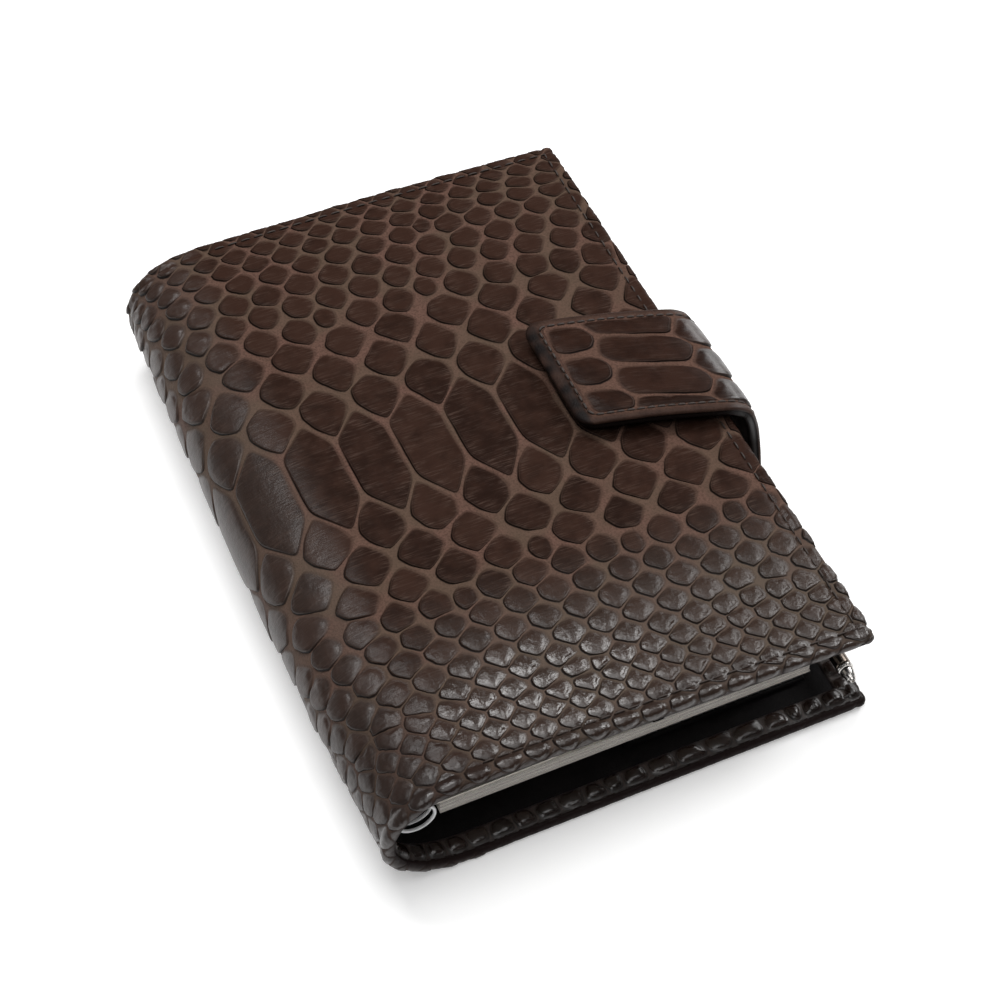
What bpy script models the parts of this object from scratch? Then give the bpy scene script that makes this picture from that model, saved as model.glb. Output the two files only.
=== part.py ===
# Leather planner: soft python-skin covers with a rolled spine, a snap strap,
# a wire-bound page insert tucked into the front cover and a slim pen.
# Lengths below are millimetres; the model itself is in metres, +Z up.
# X runs from the spine (-) to the fore-edge (+), Y along the spine, and the
# back cover lies on z = 0.

import math

import bmesh
import bpy
from mathutils import Vector

MM = 0.001

# ---------------------------------------------------------------- dimensions
LENGTH = 188.0            # along the spine
BACK_FORE_X = 66.3        # fore-edge of the back cover
FRONT_FORE_X = 64.5       # fore-edge of the front cover before it is mirrored
ROLL_X = -41.0            # where the flat covers start to roll into the spine
ROLL_DEPTH = 24.7         # how far the roll reaches out from ROLL_X
ROLL_HALF = 18.2          # half the height of the spine
ROLL_POWER = 2.15         # squareness of the roll
MID_X, MID_Z = 65.7, 15.95          # a point on the plane half way between the covers
MID_SLOPE = -0.018744               # that plane rises a little towards the spine
HINGE_T = 53.0            # where the fold lines lie on the roll, degrees
OFFSET_X = -2.2           # puts the origin under the middle of the whole box

COVER_T = 3.4             # leather, board and lining together
SKIN_T = 1.0              # leather under the board
LINING_LO, LINING_HI = 2.75, 3.3
HEM = 5.0                 # leather turned over the inside edge
GAP = 0.3

BOARD_LO, BOARD_HI = 1.3, 2.2

PAGE_X0, PAGE_X1 = -55.4, 49.3
PAGE_Y0, PAGE_Y1 = -91.5, 80.0
PAGE_LEVELS = {           # underside and top of each leaf block
    "insert_front_card": (21.90, 22.25),
    "page_block_last": (22.50, 23.60),
    "page_block_middle": (23.85, 24.95),
    "page_block_first": (25.20, 26.30),
}
WIRE_C = (-55.7, 21.8)    # centre of the binding loops
WIRE_R = 4.9
WIRE_RAD = 0.45
WIRE_PITCH = 8.4
WIRE_COUNT = 20
WIRE_FIRST_Y = -89.2
WIRE_PAIR = 2.2           # spacing of the two wires of one loop
NOTCH_W = 3.9             # width of the punched slots
NOTCH_X = -49.2           # how far in they reach

PEN_X, PEN_Z = 62.6, 11.2
PEN_R, PEN_BORE = 2.1, 1.45
PEN_TIP_Y = -92.6
PEN_LOOP_Y0, PEN_LOOP_Y1 = -64.0, -38.0

STRAP_T = 3.4
STRAP_IN_X = 66.7         # inner face of the strap beside the fore-edge
STRAP_Y0, STRAP_Y1 = -19.3, 19.5
STRAP_SKEW = 0.2486       # the strap crosses the fore-edge askew
SNAP_X, SNAP_Y = 41.0, 5.0


# ---------------------------------------------------------------- helpers
def clear_scene():
    for ob in list(bpy.data.objects):
        bpy.data.objects.remove(ob, do_unlink=True)


def material(name, rgb, rough, metal=0.0):
    mat = bpy.data.materials.new(name)
    mat.use_nodes = True
    shader = mat.node_tree.nodes["Principled BSDF"]
    shader.inputs["Base Color"].default_value = (rgb[0], rgb[1], rgb[2], 1.0)
    shader.inputs["Roughness"].default_value = rough
    shader.inputs["Metallic"].default_value = metal
    return mat


EMPTIES = {}


def body(name, x, y, z):
    """An empty on the joint axis that carries one moving group."""
    e = bpy.data.objects.new(name + "_axis", None)
    e.empty_display_size = 0.01
    e.location = ((x + OFFSET_X) * MM, y * MM, z * MM)
    bpy.context.scene.collection.objects.link(e)
    EMPTIES[name] = e
    return e


def to_object(name, verts, faces, mat, carrier=None, smooth=None, cutter=False):
    base = EMPTIES[carrier].location if carrier else Vector((0.0, 0.0, 0.0))
    mesh = bpy.data.meshes.new(name)
    pts = [Vector(((v[0] + OFFSET_X) * MM, v[1] * MM, v[2] * MM)) - base for v in verts]
    mesh.from_pydata(pts, [], faces)
    bm = bmesh.new()
    bm.from_mesh(mesh)
    bmesh.ops.remove_doubles(bm, verts=bm.verts, dist=1e-7)
    bmesh.ops.recalc_face_normals(bm, faces=bm.faces)
    bm.to_mesh(mesh)
    bm.free()
    if smooth is not None:
        mesh.shade_smooth()
        mesh.set_sharp_from_angle(angle=math.radians(smooth))
    ob = bpy.data.objects.new(name, mesh)
    bpy.context.scene.collection.objects.link(ob)
    if carrier:
        ob.parent = EMPTIES[carrier]
    if mat:
        mesh.materials.append(mat)
    if cutter:
        ob.hide_render = True
        ob.display_type = "WIRE"
    return ob


def prism(poly, y0, y1, lean=None):
    """Extrude an XZ outline along Y; lean gives a shift of Y for each point."""
    n = len(poly)
    shift = [lean(x, z) if lean else 0.0 for x, z in poly]
    verts = [(x, y0 + d, z) for (x, z), d in zip(poly, shift)]
    verts += [(x, y1 + d, z) for (x, z), d in zip(poly, shift)]
    faces = [list(range(n)), list(range(2 * n - 1, n - 1, -1))]
    for i in range(n):
        j = (i + 1) % n
        faces.append([i, j, n + j, n + i])
    return verts, faces


def plate(outline, z0, z1):
    """Extrude an XY outline along Z."""
    n = len(outline)
    verts = [(x, y, z0) for x, y in outline] + [(x, y, z1) for x, y in outline]
    faces = [list(range(n)), list(range(2 * n - 1, n - 1, -1))]
    for i in range(n):
        j = (i + 1) % n
        faces.append([i, j, n + j, n + i])
    return verts, faces


def box(x0, x1, z0, z1):
    return [(x0, z0), (x1, z0), (x1, z1), (x0, z1)]


def lathe_y(profile, x0, z0, sides=14):
    """Turn a closed (radius, y) outline about the line x0, z0 parallel to Y."""
    verts, faces, rings = [], [], []
    for r, y in profile:
        if r < 1e-6:
            rings.append([len(verts)] * sides)
            verts.append((x0, y, z0))
        else:
            rings.append(list(range(len(verts), len(verts) + sides)))
            for k in range(sides):
                a = 2 * math.pi * (k + 0.5) / sides
                verts.append((x0 + r * math.cos(a), y, z0 + r * math.sin(a)))
    n = len(rings)
    for i in range(n):
        a, b = rings[i], rings[(i + 1) % n]
        if a[0] == a[1] and b[0] == b[1]:
            continue
        for k in range(sides):
            q = [a[k], a[(k + 1) % sides], b[(k + 1) % sides], b[k]]
            q = [v for j, v in enumerate(q) if v not in q[:j]]
            if len(q) > 2:
                faces.append(q)
    return verts, faces


def lathe_z(profile, x0, y0, sides=20):
    """Turn a closed (radius, z) outline about a vertical line."""
    v, f = lathe_y(profile, x0, y0, sides)
    return [(a, c, b) for a, b, c in v], f


def tube(path, radius, sides=4):
    """A round rod along a polyline, capped at both ends."""
    pts = [Vector(p) for p in path]
    n = len(pts)
    tang = []
    for i in range(n):
        a = pts[max(i - 1, 0)]
        b = pts[min(i + 1, n - 1)]
        tang.append((b - a).normalized())
    ref = Vector((0.0, 1.0, 0.0))
    if abs(tang[0].dot(ref)) > 0.9:
        ref = Vector((0.0, 0.0, 1.0))
    nrm = (ref - tang[0] * ref.dot(tang[0])).normalized()
    verts, faces = [], []
    for i in range(n):
        if i:
            nrm = tang[i - 1].rotation_difference(tang[i]) @ nrm
            nrm = (nrm - tang[i] * nrm.dot(tang[i])).normalized()
        bin_ = tang[i].cross(nrm)
        grow = 1.0
        if 0 < i < n - 1:
            d0 = (pts[i] - pts[i - 1]).normalized()
            grow = 1.0 / max(0.75, d0.dot(tang[i]))
        for k in range(sides):
            a = 2 * math.pi * (k + 0.5) / sides
            verts.append(tuple(pts[i] + (nrm * math.cos(a) + bin_ * math.sin(a)) * radius * grow))
    for i in range(n - 1):
        for k in range(sides):
            a, b = i * sides + k, i * sides + (k + 1) % sides
            faces.append([a, b, b + sides, a + sides])
    faces.append(list(range(sides)))
    faces.append(list(range((n - 1) * sides, n * sides))[::-1])
    return verts, faces


def cut(ob, tool, name):
    m = ob.modifiers.new(name, "BOOLEAN")
    m.operation = "DIFFERENCE"
    m.solver = "EXACT"
    m.object = tool


# ---------------------------------------------------------------- the section
def same(p):
    return p


def mirrored(p):
    """Reflect a point in the plane half way between the covers."""
    k = 1.0 / math.hypot(1.0, MID_SLOPE)
    ux, uz = k, MID_SLOPE * k
    dx, dz = p[0] - MID_X, p[1] - MID_Z
    t = dx * ux + dz * uz
    return (MID_X + 2 * t * ux - dx, MID_Z + 2 * t * uz - dz)


def roll(t):
    """Outer surface of the rolled spine, t = 0 at the cover, 90 at mid height."""
    a = math.radians(t)
    s = abs(math.sin(a)) ** (2.0 / ROLL_POWER)
    c = abs(math.cos(a)) ** (2.0 / ROLL_POWER)
    return (ROLL_X - ROLL_DEPTH * s, ROLL_HALF * (1.0 - c))


def roll_in(t, depth):
    """A point the given depth inside the roll."""
    e = 0.4
    if t <= 0.0:
        tx, tz = -1.0, 0.0
    else:
        p, q = roll(max(t - e, 0.0)), roll(min(t + e, 90.0))
        d = math.hypot(q[0] - p[0], q[1] - p[1])
        tx, tz = (q[0] - p[0]) / d, (q[1] - p[1]) / d
    x, z = roll(t)
    return (x + tz * depth, z - tx * depth)


def along(t0, t1, step=6.0):
    n = max(1, int(round(abs(t1 - t0) / step)))
    return [t0 + (t1 - t0) * i / n for i in range(n + 1)]


def skin_band(t0, t1, lo, hi, flat_to=None):
    """Outline between two depths; with flat_to it also runs along the flat cover."""
    ts = along(t0, t1)
    outer = [roll_in(t, lo) for t in ts]
    inner = [roll_in(t, hi) for t in ts]
    if flat_to is not None:
        outer = [(flat_to, lo)] + outer
        inner = [(flat_to, hi)] + inner
    return outer + inner[::-1]


def cover_outline(fore):
    """Back cover leather: rounded fore-edge, flat, then the roll up to the fold line."""
    r = COVER_T / 2
    pts = []
    for i in range(7):
        a = math.pi / 2 - math.pi * i / 6
        pts.append((fore - r + r * math.cos(a), r + r * math.sin(a)))
    ts = along(0.0, HINGE_T - 0.55)
    pts += [roll(t) for t in ts]
    pts += [roll_in(t, COVER_T) for t in ts[::-1]]
    return pts


def build_cover(side, fore, carrier, leather, board_mat, lining_mat):
    m = same if side == "back" else mirrored
    half = LENGTH / 2
    v, f = prism([m(p) for p in cover_outline(fore)], -half, half)
    skin = to_object(side + "_cover_leather", v, f, leather, carrier, smooth=40)

    v, f = prism([m(p) for p in box(-38.0, fore - 3.0, SKIN_T, 2.62)], -half + 3.0, half - 3.0)
    pocket = to_object(side + "_board_cut", v, f, None, carrier, cutter=True)
    cut(skin, pocket, "board pocket")
    v, f = prism(
        [m(p) for p in skin_band(0.0, HINGE_T + 8.0, 2.45, 5.2, fore - HEM)],
        -half + HEM, half - HEM)
    recess = to_object(side + "_lining_cut", v, f, None, carrier, cutter=True)
    cut(skin, recess, "lining recess")

    v, f = prism([m(p) for p in box(-37.6, fore - 3.4, BOARD_LO, BOARD_HI)],
                 -half + 3.4, half - 3.4)
    board = to_object(side + "_cover_board", v, f, board_mat, carrier)

    v, f = prism(
        [m(p) for p in skin_band(0.0, HINGE_T - 0.55, LINING_LO, LINING_HI, fore - HEM - GAP)],
        -half + HEM + GAP, half - HEM - GAP)
    to_object(side + "_cover_lining", v, f, lining_mat, carrier, smooth=40)
    return skin, board


def slip_pocket(side, carrier, mat, x0, x1, y0, y1, base, top, thick, rim):
    """A pocket panel sewn down on three sides, its mouth towards the spine."""
    m = same if side == "back" else mirrored
    v, f = prism([m(p) for p in box(x0, x1, base, top)], y0, y1)
    panel = to_object(side + "_slip_pocket", v, f, mat, carrier)
    v, f = prism([m(p) for p in box(x0 - 5.0, x1 - rim, base - 1.0, top - thick)], y0 + rim, y1 - rim)
    inside = to_object(side + "_pocket_cut", v, f, None, carrier, cutter=True)
    cut(panel, inside, "pocket space")
    return panel


def sheet_outline(x1, x0=PAGE_X0):
    """A leaf block seen from above, with punched slots along the bound edge."""
    pts = [(x1, PAGE_Y0), (x1, PAGE_Y1), (x0, PAGE_Y1)]
    for i in reversed(range(WIRE_COUNT)):
        y = WIRE_FIRST_Y + WIRE_PITCH * i
        if y - NOTCH_W / 2 < PAGE_Y0 + 0.2 or y + NOTCH_W / 2 > PAGE_Y1 - 0.2:
            continue
        pts += [(x0, y + NOTCH_W / 2), (NOTCH_X, y + NOTCH_W / 2),
                (NOTCH_X, y - NOTCH_W / 2), (x0, y - NOTCH_W / 2)]
    pts.append((x0, PAGE_Y0))
    return pts


def ribbon(path, thick):
    """Closed outline of a strip of the given thickness centred on a path."""
    left, right = [], []
    n = len(path)
    for i in range(n):
        a, b = path[max(i - 1, 0)], path[min(i + 1, n - 1)]
        d = math.hypot(b[0] - a[0], b[1] - a[1])
        nx, nz = -(b[1] - a[1]) / d, (b[0] - a[0]) / d
        left.append((path[i][0] + nx * thick / 2, path[i][1] + nz * thick / 2))
        right.append((path[i][0] - nx * thick / 2, path[i][1] - nz * thick / 2))
    return left + right[::-1]


# ---------------------------------------------------------------- build
clear_scene()

python_skin = material("python_leather", (0.038, 0.024, 0.018), 0.45)
spine_skin = material("spine_leather", (0.038, 0.024, 0.02), 0.45)
black_cloth = material("black_lining", (0.008, 0.007, 0.008), 0.75)
grey_board = material("grey_board", (0.30, 0.28, 0.25), 0.9)
paper = material("page_paper", (0.80, 0.79, 0.76), 0.85)
card = material("insert_card", (0.62, 0.60, 0.56), 0.7)
white_wire = material("coated_wire", (0.85, 0.85, 0.84), 0.35)
chrome = material("pen_chrome", (0.72, 0.70, 0.67), 0.14, 1.0)
refill_mat = material("refill_brass", (0.66, 0.50, 0.25), 0.35, 1.0)
snap_metal = material("snap_brass", (0.35, 0.26, 0.15), 0.35, 1.0)
strap_skin = material("strap_leather", (0.040, 0.025, 0.019), 0.42)
strap_back = material("strap_lining", (0.020, 0.015, 0.013), 0.6)

hinge_back = roll(HINGE_T)
hinge_front = mirrored(hinge_back)
body("back_cover", 0.0, 0.0, 0.0)
body("spine", hinge_back[0], 0.0, hinge_back[1])
body("front_cover", hinge_front[0], 0.0, hinge_front[1])
body("pages", WIRE_C[0], 0.0, WIRE_C[1])
body("pen", PEN_X, PEN_TIP_Y, PEN_Z)
body("strap_side", STRAP_IN_X + STRAP_T, 0.0, 0.9)
body("strap_tab", STRAP_IN_X + STRAP_T, 0.0, 34.2)

# covers
back_skin, back_board = build_cover("back", BACK_FORE_X, "back_cover", python_skin, grey_board, black_cloth)
front_skin, front_board = build_cover("front", FRONT_FORE_X, "front_cover", python_skin, grey_board, black_cloth)

# the soft spine between the two fold lines
half = LENGTH / 2
spine_ts = along(HINGE_T + 0.55, 88.5, 5.0)


def spine_outline(lo, hi):
    outer = [roll_in(t, lo) for t in spine_ts]
    inner = [roll_in(t, hi) for t in spine_ts]
    outer += [mirrored(p) for p in outer[::-1]]
    inner += [mirrored(p) for p in inner[::-1]]
    return outer + inner[::-1]


v, f = prism(spine_outline(0.0, COVER_T), -half, half)
spine = to_object("spine_leather", v, f, spine_skin, "spine", smooth=40)
wide = [HINGE_T - 8.0] + spine_ts
outer = [roll_in(t, 2.45) for t in wide]
inner = [roll_in(t, 5.2) for t in wide]
outer += [mirrored(p) for p in outer[::-1]]
inner += [mirrored(p) for p in inner[::-1]]
v, f = prism(outer + inner[::-1], -half + HEM, half - HEM)
spine_cut = to_object("spine_lining_cut", v, f, None, "spine", cutter=True)
cut(spine, spine_cut, "lining recess")
v, f = prism(spine_outline(LINING_LO, LINING_HI), -half + HEM + GAP, half - HEM - GAP)
to_object("spine_lining", v, f, black_cloth, "spine", smooth=40)

# slip pockets inside the covers
slip_pocket("back", "back_cover", black_cloth, 4.0, 54.8, -83.0, 83.0,
            LINING_HI + GAP, LINING_HI + GAP + 1.2, 0.5, 2.0)
slip_pocket("front", "front_cover", black_cloth, 5.0, 63.4, -93.4, 93.4,
            COVER_T + GAP, COVER_T + GAP + 1.35, 0.5, 1.4)

# the page insert: back card tucked into the front pocket, leaf blocks, wire
card_path = [(PAGE_X0, 26.75), (-22.0, 27.2), (-13.0, 28.2), (-4.0, 29.5), (4.0, 30.05)]
tuck_in = mirrored((8.0, COVER_T + 0.30 + 0.3))
tuck_out = mirrored((47.0, COVER_T + 0.30 + 0.3))
card_path += [tuck_in, tuck_out]
v, f = prism(ribbon(card_path, 0.4), PAGE_Y0, PAGE_Y1)
back_card = to_object("insert_back_card", v, f, card, "front_cover")
slots = []
verts, faces = [], []
for i in range(WIRE_COUNT):
    y = WIRE_FIRST_Y + WIRE_PITCH * i
    v, f = prism(box(PAGE_X0 - 3.0, NOTCH_X, 25.5, 30.0), y - NOTCH_W / 2, y + NOTCH_W / 2)
    faces += [[a + len(verts) for a in q] for q in f]
    verts += v
slot_cut = to_object("card_slot_cut", verts, faces, None, "front_cover", cutter=True)
cut(back_card, slot_cut, "punched slots")

for node, (z0, z1) in PAGE_LEVELS.items():
    far = PAGE_X1 + (0.4 if node == "insert_front_card" else 0.0)
    v, f = plate(sheet_outline(far), z0, z1)
    to_object(node, v, f, card if node == "insert_front_card" else paper, "pages")

path = []
seam, tip = math.radians(120.0), math.radians(-214.0)
for i in range(WIRE_COUNT):
    y = WIRE_FIRST_Y + WIRE_PITCH * i
    steps = 9
    for k in range(steps + 1):
        a = seam + (tip - seam) * k / steps
        path.append((WIRE_C[0] + WIRE_R * math.cos(a), y - WIRE_PAIR / 2, WIRE_C[1] + WIRE_R * math.sin(a)))
    for k in reversed(range(steps + 1)):
        a = seam + (tip - seam) * k / steps
        path.append((WIRE_C[0] + WIRE_R * math.cos(a), y + WIRE_PAIR / 2, WIRE_C[1] + WIRE_R * math.sin(a)))
v, f = tube(path, WIRE_RAD, 4)
to_object("binding_wire", v, f, white_wire, "front_cover", smooth=60)

# pen loop sewn to the inside of the back cover
loop_r = PEN_R + 0.35 + 0.4
neck = 0.5
loop_path = [(55.6, COVER_T + 0.7), (59.0, COVER_T + 0.7), (61.0, COVER_T + 0.75),
             (61.8, COVER_T + 1.6), (PEN_X - neck, PEN_Z - loop_r - 1.0)]
a0 = math.asin(neck / loop_r)
for k in range(17):
    a = -math.pi / 2 - a0 - (2 * math.pi - 2 * a0) * k / 16
    loop_path.append((PEN_X + loop_r * math.cos(a), PEN_Z + loop_r * math.sin(a)))
loop_path.append((PEN_X + neck, PEN_Z - loop_r - 1.0))
loop_path.append((PEN_X + neck, COVER_T + 2.6))
v, f = prism(ribbon(loop_path, 0.8), PEN_LOOP_Y0, PEN_LOOP_Y1)
to_object("pen_loop", v, f, strap_skin, "back_cover", smooth=40)

# slim twist pen
t = PEN_TIP_Y
v, f = lathe_y([(0.8, t), (1.4, t + 1.7), (1.85, t + 3.4), (1.0, t + 3.4), (0.6, t + 2.0), (0.6, t)], PEN_X, PEN_Z)
to_object("pen_tip_cone", v, f, chrome, "pen", smooth=30)
v, f = lathe_y([(2.0, t + 3.7), (2.2, t + 3.9), (2.2, t + 4.6), (2.0, t + 4.8), (PEN_BORE, t + 4.8), (PEN_BORE, t + 3.7)], PEN_X, PEN_Z)
to_object("pen_ring", v, f, chrome, "pen", smooth=30)
v, f = lathe_y([(PEN_R, t + 5.1), (PEN_R, t + 62.0), (PEN_BORE, t + 62.0), (PEN_BORE, t + 5.1)], PEN_X, PEN_Z)
to_object("pen_lower_barrel", v, f, chrome, "pen", smooth=30)
v, f = lathe_y([(PEN_R, t + 62.3), (PEN_R, t + 115.0), (1.5, t + 117.0), (0.0, t + 117.6),
                (0.0, t + 112.0), (PEN_BORE, t + 112.0), (PEN_BORE, t + 62.3)], PEN_X, PEN_Z)
to_object("pen_upper_barrel", v, f, chrome, "pen", smooth=30)
v, f = lathe_y([(0.0, t + 0.6), (0.3, t + 0.7), (0.3, t + 8.6), (1.1, t + 10.2), (1.1, t + 74.0), (0.0, t + 74.0)], PEN_X, PEN_Z, 10)
to_object("pen_refill", v, f, refill_mat, "pen", smooth=30)

# strap: a side that comes up beside the fore-edge and a tab over the front
out_x = STRAP_IN_X + STRAP_T
mid_lo, mid_hi = 1.55, 1.85       # the leather and its lining meet inside the strap


def strap_side_outline(a, b):
    """Between depths a and b from the outer face, up to the mitred fold."""
    return [(out_x - a, 0.9), (out_x - a, 33.9 - a * 0.85), (out_x - b, 33.9 - b * 0.85), (out_x - b, 0.9)]


def side_lean(x, z):
    return STRAP_SKEW * (66.0 - out_x - (34.25 - z))


def tab_lean(x, z):
    return STRAP_SKEW * (66.0 - x)


v, f = prism(strap_side_outline(0.0, mid_lo), STRAP_Y0, STRAP_Y1, side_lean)
to_object("strap_side_leather", v, f, strap_skin, "strap_side")
v, f = prism(strap_side_outline(mid_hi, STRAP_T), STRAP_Y0 + 0.4, STRAP_Y1 - 0.4, side_lean)
to_object("strap_side_lining", v, f, strap_back, "strap_side")

TAB_TOP = [(out_x, 34.25), (69.2, 35.9), (67.4, 36.9), (64.0, 37.3), (56.0, 38.3), (48.0, 39.2), (26.2, 39.5)]


def tab_outline(a, b, end):
    def at(depth):
        pts = []
        n = len(TAB_TOP)
        for i in range(n):
            p, q = TAB_TOP[max(i - 1, 0)], TAB_TOP[min(i + 1, n - 1)]
            d = math.hypot(q[0] - p[0], q[1] - p[1])
            nx, nz = -(q[1] - p[1]) / d, (q[0] - p[0]) / d
            if i == 0:
                nx, nz = -0.86, -0.72
            pts.append((TAB_TOP[i][0] + nx * depth, TAB_TOP[i][1] + nz * depth))
        pts[-1] = (pts[-1][0] + end, pts[-1][1])
        return pts
    top, low = at(a), at(b)
    return top + low[::-1]


v, f = prism(tab_outline(0.0, mid_lo, 0.0), STRAP_Y0, STRAP_Y1, tab_lean)
tab = to_object("strap_tab_leather", v, f, strap_skin, "strap_tab", smooth=30)
v, f = prism(tab_outline(mid_hi, STRAP_T, 0.4), STRAP_Y0 + 0.4, STRAP_Y1 - 0.4, tab_lean)
tab_back = to_object("strap_tab_lining", v, f, strap_back, "strap_tab", smooth=30)

# hidden snap under the tab
tilt = math.atan(2 * MID_SLOPE)
cover_z = mirrored((SNAP_X, 0.0))[1]
stud_profile = [(0.0, 2.05), (1.5, 2.05), (2.7, 1.75), (3.2, 0.85), (5.2, 0.75), (5.2, 0.3), (1.2, 0.3), (1.2, -0.9), (0.0, -0.9)]


def placed(verts, x, y, z, angle):
    c, s = math.cos(angle), math.sin(angle)
    return [(x + a * c - e * s, y + b, z + a * s + e * c) for a, b, e in verts]


v, f = lathe_z(stud_profile, 0.0, 0.0)
to_object("snap_stud", placed(v, SNAP_X, SNAP_Y, cover_z, tilt), f, snap_metal, "front_cover", smooth=30)
v, f = lathe_z([(0.0, -1.25), (4.0, -1.25), (4.0, -2.1), (0.0, -2.1)], 0.0, 0.0)
to_object("snap_stud_rivet", placed(v, SNAP_X, SNAP_Y, cover_z, tilt), f, snap_metal, "front_cover", smooth=30)
v, f = lathe_z([(0.0, 1.0), (1.6, 1.0), (1.6, -3.0), (0.0, -3.0)], 0.0, 0.0)
hole = to_object("stud_hole_cut", placed(v, SNAP_X, SNAP_Y, cover_z, tilt), f, None, "front_cover", cutter=True)
cut(front_skin, hole, "stud hole")
v, f = lathe_z([(0.0, 0.0), (4.4, 0.0), (4.4, -4.0), (0.0, -4.0)], 0.0, 0.0)
wide_hole = to_object("rivet_hole_cut", placed(v, SNAP_X, SNAP_Y, cover_z, tilt), f, None, "front_cover", cutter=True)
cut(front_board, wide_hole, "rivet hole")

SOCKET = [(1.2, 4.7), (0.0, 4.7), (0.0, 2.4), (2.2, 2.3), (3.4, 1.8), (4.2, 1.15),
          (5.8, 1.15), (6.0, 1.3), (6.0, 2.4), (5.6, 2.6), (1.2, 2.6)]
v, f = lathe_z(SOCKET, 0.0, 0.0)
to_object("snap_socket", placed(v, SNAP_X, SNAP_Y, cover_z, 0.0), f, snap_metal, "strap_tab", smooth=30)
v, f = lathe_z([(0.0, 5.6), (4.6, 5.6), (4.6, 5.05), (0.0, 5.05)], 0.0, 0.0)
to_object("snap_cap", placed(v, SNAP_X, SNAP_Y, cover_z, 0.0), f, snap_metal, "strap_tab", smooth=30)
v, f = lathe_z([(0.0, 8.0), (1.6, 8.0), (1.6, 0.0), (0.0, 0.0)], 0.0, 0.0)
post_hole = to_object("socket_hole_cut", placed(v, SNAP_X, SNAP_Y, cover_z, 0.0), f, None, "strap_tab", cutter=True)
cut(tab_back, post_hole, "post hole")
v, f = lathe_z([(0.0, 5.9), (5.0, 5.9), (5.0, 2.0), (0.0, 2.0)], 0.0, 0.0)
cap_room = to_object("cap_room_cut", placed(v, SNAP_X, SNAP_Y, cover_z, 0.0), f, None, "strap_tab", cutter=True)
cut(tab, cap_room, "cap room")
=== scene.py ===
# Looks of the leather planner: scaled skin covers, strap, pages, wire, pen.
# Lengths in the functions are millimetres in the part's section frame; the
# meshes are in metres in the row frame.
import math
import random

import bmesh
import bpy
import numpy as np
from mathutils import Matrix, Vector, noise


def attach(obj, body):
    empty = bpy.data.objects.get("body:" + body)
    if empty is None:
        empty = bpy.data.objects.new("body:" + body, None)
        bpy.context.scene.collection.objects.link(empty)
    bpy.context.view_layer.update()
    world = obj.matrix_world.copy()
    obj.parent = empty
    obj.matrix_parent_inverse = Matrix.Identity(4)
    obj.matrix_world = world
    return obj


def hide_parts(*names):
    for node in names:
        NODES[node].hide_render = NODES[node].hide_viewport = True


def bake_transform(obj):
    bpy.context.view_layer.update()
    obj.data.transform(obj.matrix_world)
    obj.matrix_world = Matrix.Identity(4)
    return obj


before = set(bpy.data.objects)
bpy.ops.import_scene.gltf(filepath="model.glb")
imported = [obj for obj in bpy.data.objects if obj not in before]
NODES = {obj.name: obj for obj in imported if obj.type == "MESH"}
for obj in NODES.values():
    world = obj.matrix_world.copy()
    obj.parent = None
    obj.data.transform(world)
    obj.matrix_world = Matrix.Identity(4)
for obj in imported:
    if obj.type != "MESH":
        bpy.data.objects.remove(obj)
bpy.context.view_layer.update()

MM = 0.001

# ---------------------------------------------------------------- dimensions
LENGTH = 188.0
BACK_FORE_X = 66.3
FRONT_FORE_X = 64.5
ROLL_X, ROLL_DEPTH, ROLL_HALF, ROLL_POWER = -41.0, 24.7, 18.2, 2.15
MID_X, MID_Z, MID_SLOPE = 65.7, 15.95, -0.018744
OFFSET_X = -2.2
COVER_T = 3.4
HEM = 5.0
PAGE_X0, PAGE_X1 = -55.4, 49.3
PAGE_Y0, PAGE_Y1 = -91.5, 80.0
WIRE_C, WIRE_R, WIRE_RAD = (-55.7, 21.8), 4.9, 0.45
WIRE_PITCH, WIRE_COUNT, WIRE_FIRST_Y, WIRE_PAIR = 8.4, 20, -89.2, 2.2
PEN_X, PEN_Z, PEN_R, PEN_TIP_Y = 62.6, 11.2, 2.1, -92.6
STRAP_Y0, STRAP_Y1, STRAP_SKEW = -19.3, 19.5, 0.2486
SNAP_X, SNAP_Y = 41.0, 5.0


def row(p):
    """Section-frame millimetres to row-frame metres."""
    p = np.asarray(p, float)
    return (p + np.array([OFFSET_X, 0.0, 0.0])) * MM


def mirrored(p):
    k = 1.0 / math.hypot(1.0, MID_SLOPE)
    ux, uz = k, MID_SLOPE * k
    dx, dz = p[0] - MID_X, p[1] - MID_Z
    t = dx * ux + dz * uz
    return (MID_X + 2 * t * ux - dx, MID_Z + 2 * t * uz - dz)


def roll(t):
    a = math.radians(t)
    s = abs(math.sin(a)) ** (2.0 / ROLL_POWER)
    c = abs(math.cos(a)) ** (2.0 / ROLL_POWER)
    return (ROLL_X - ROLL_DEPTH * s, ROLL_HALF * (1.0 - c))


def smooth01(t):
    t = np.clip(t, 0.0, 1.0)
    return t * t * (3 - 2 * t)


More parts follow.
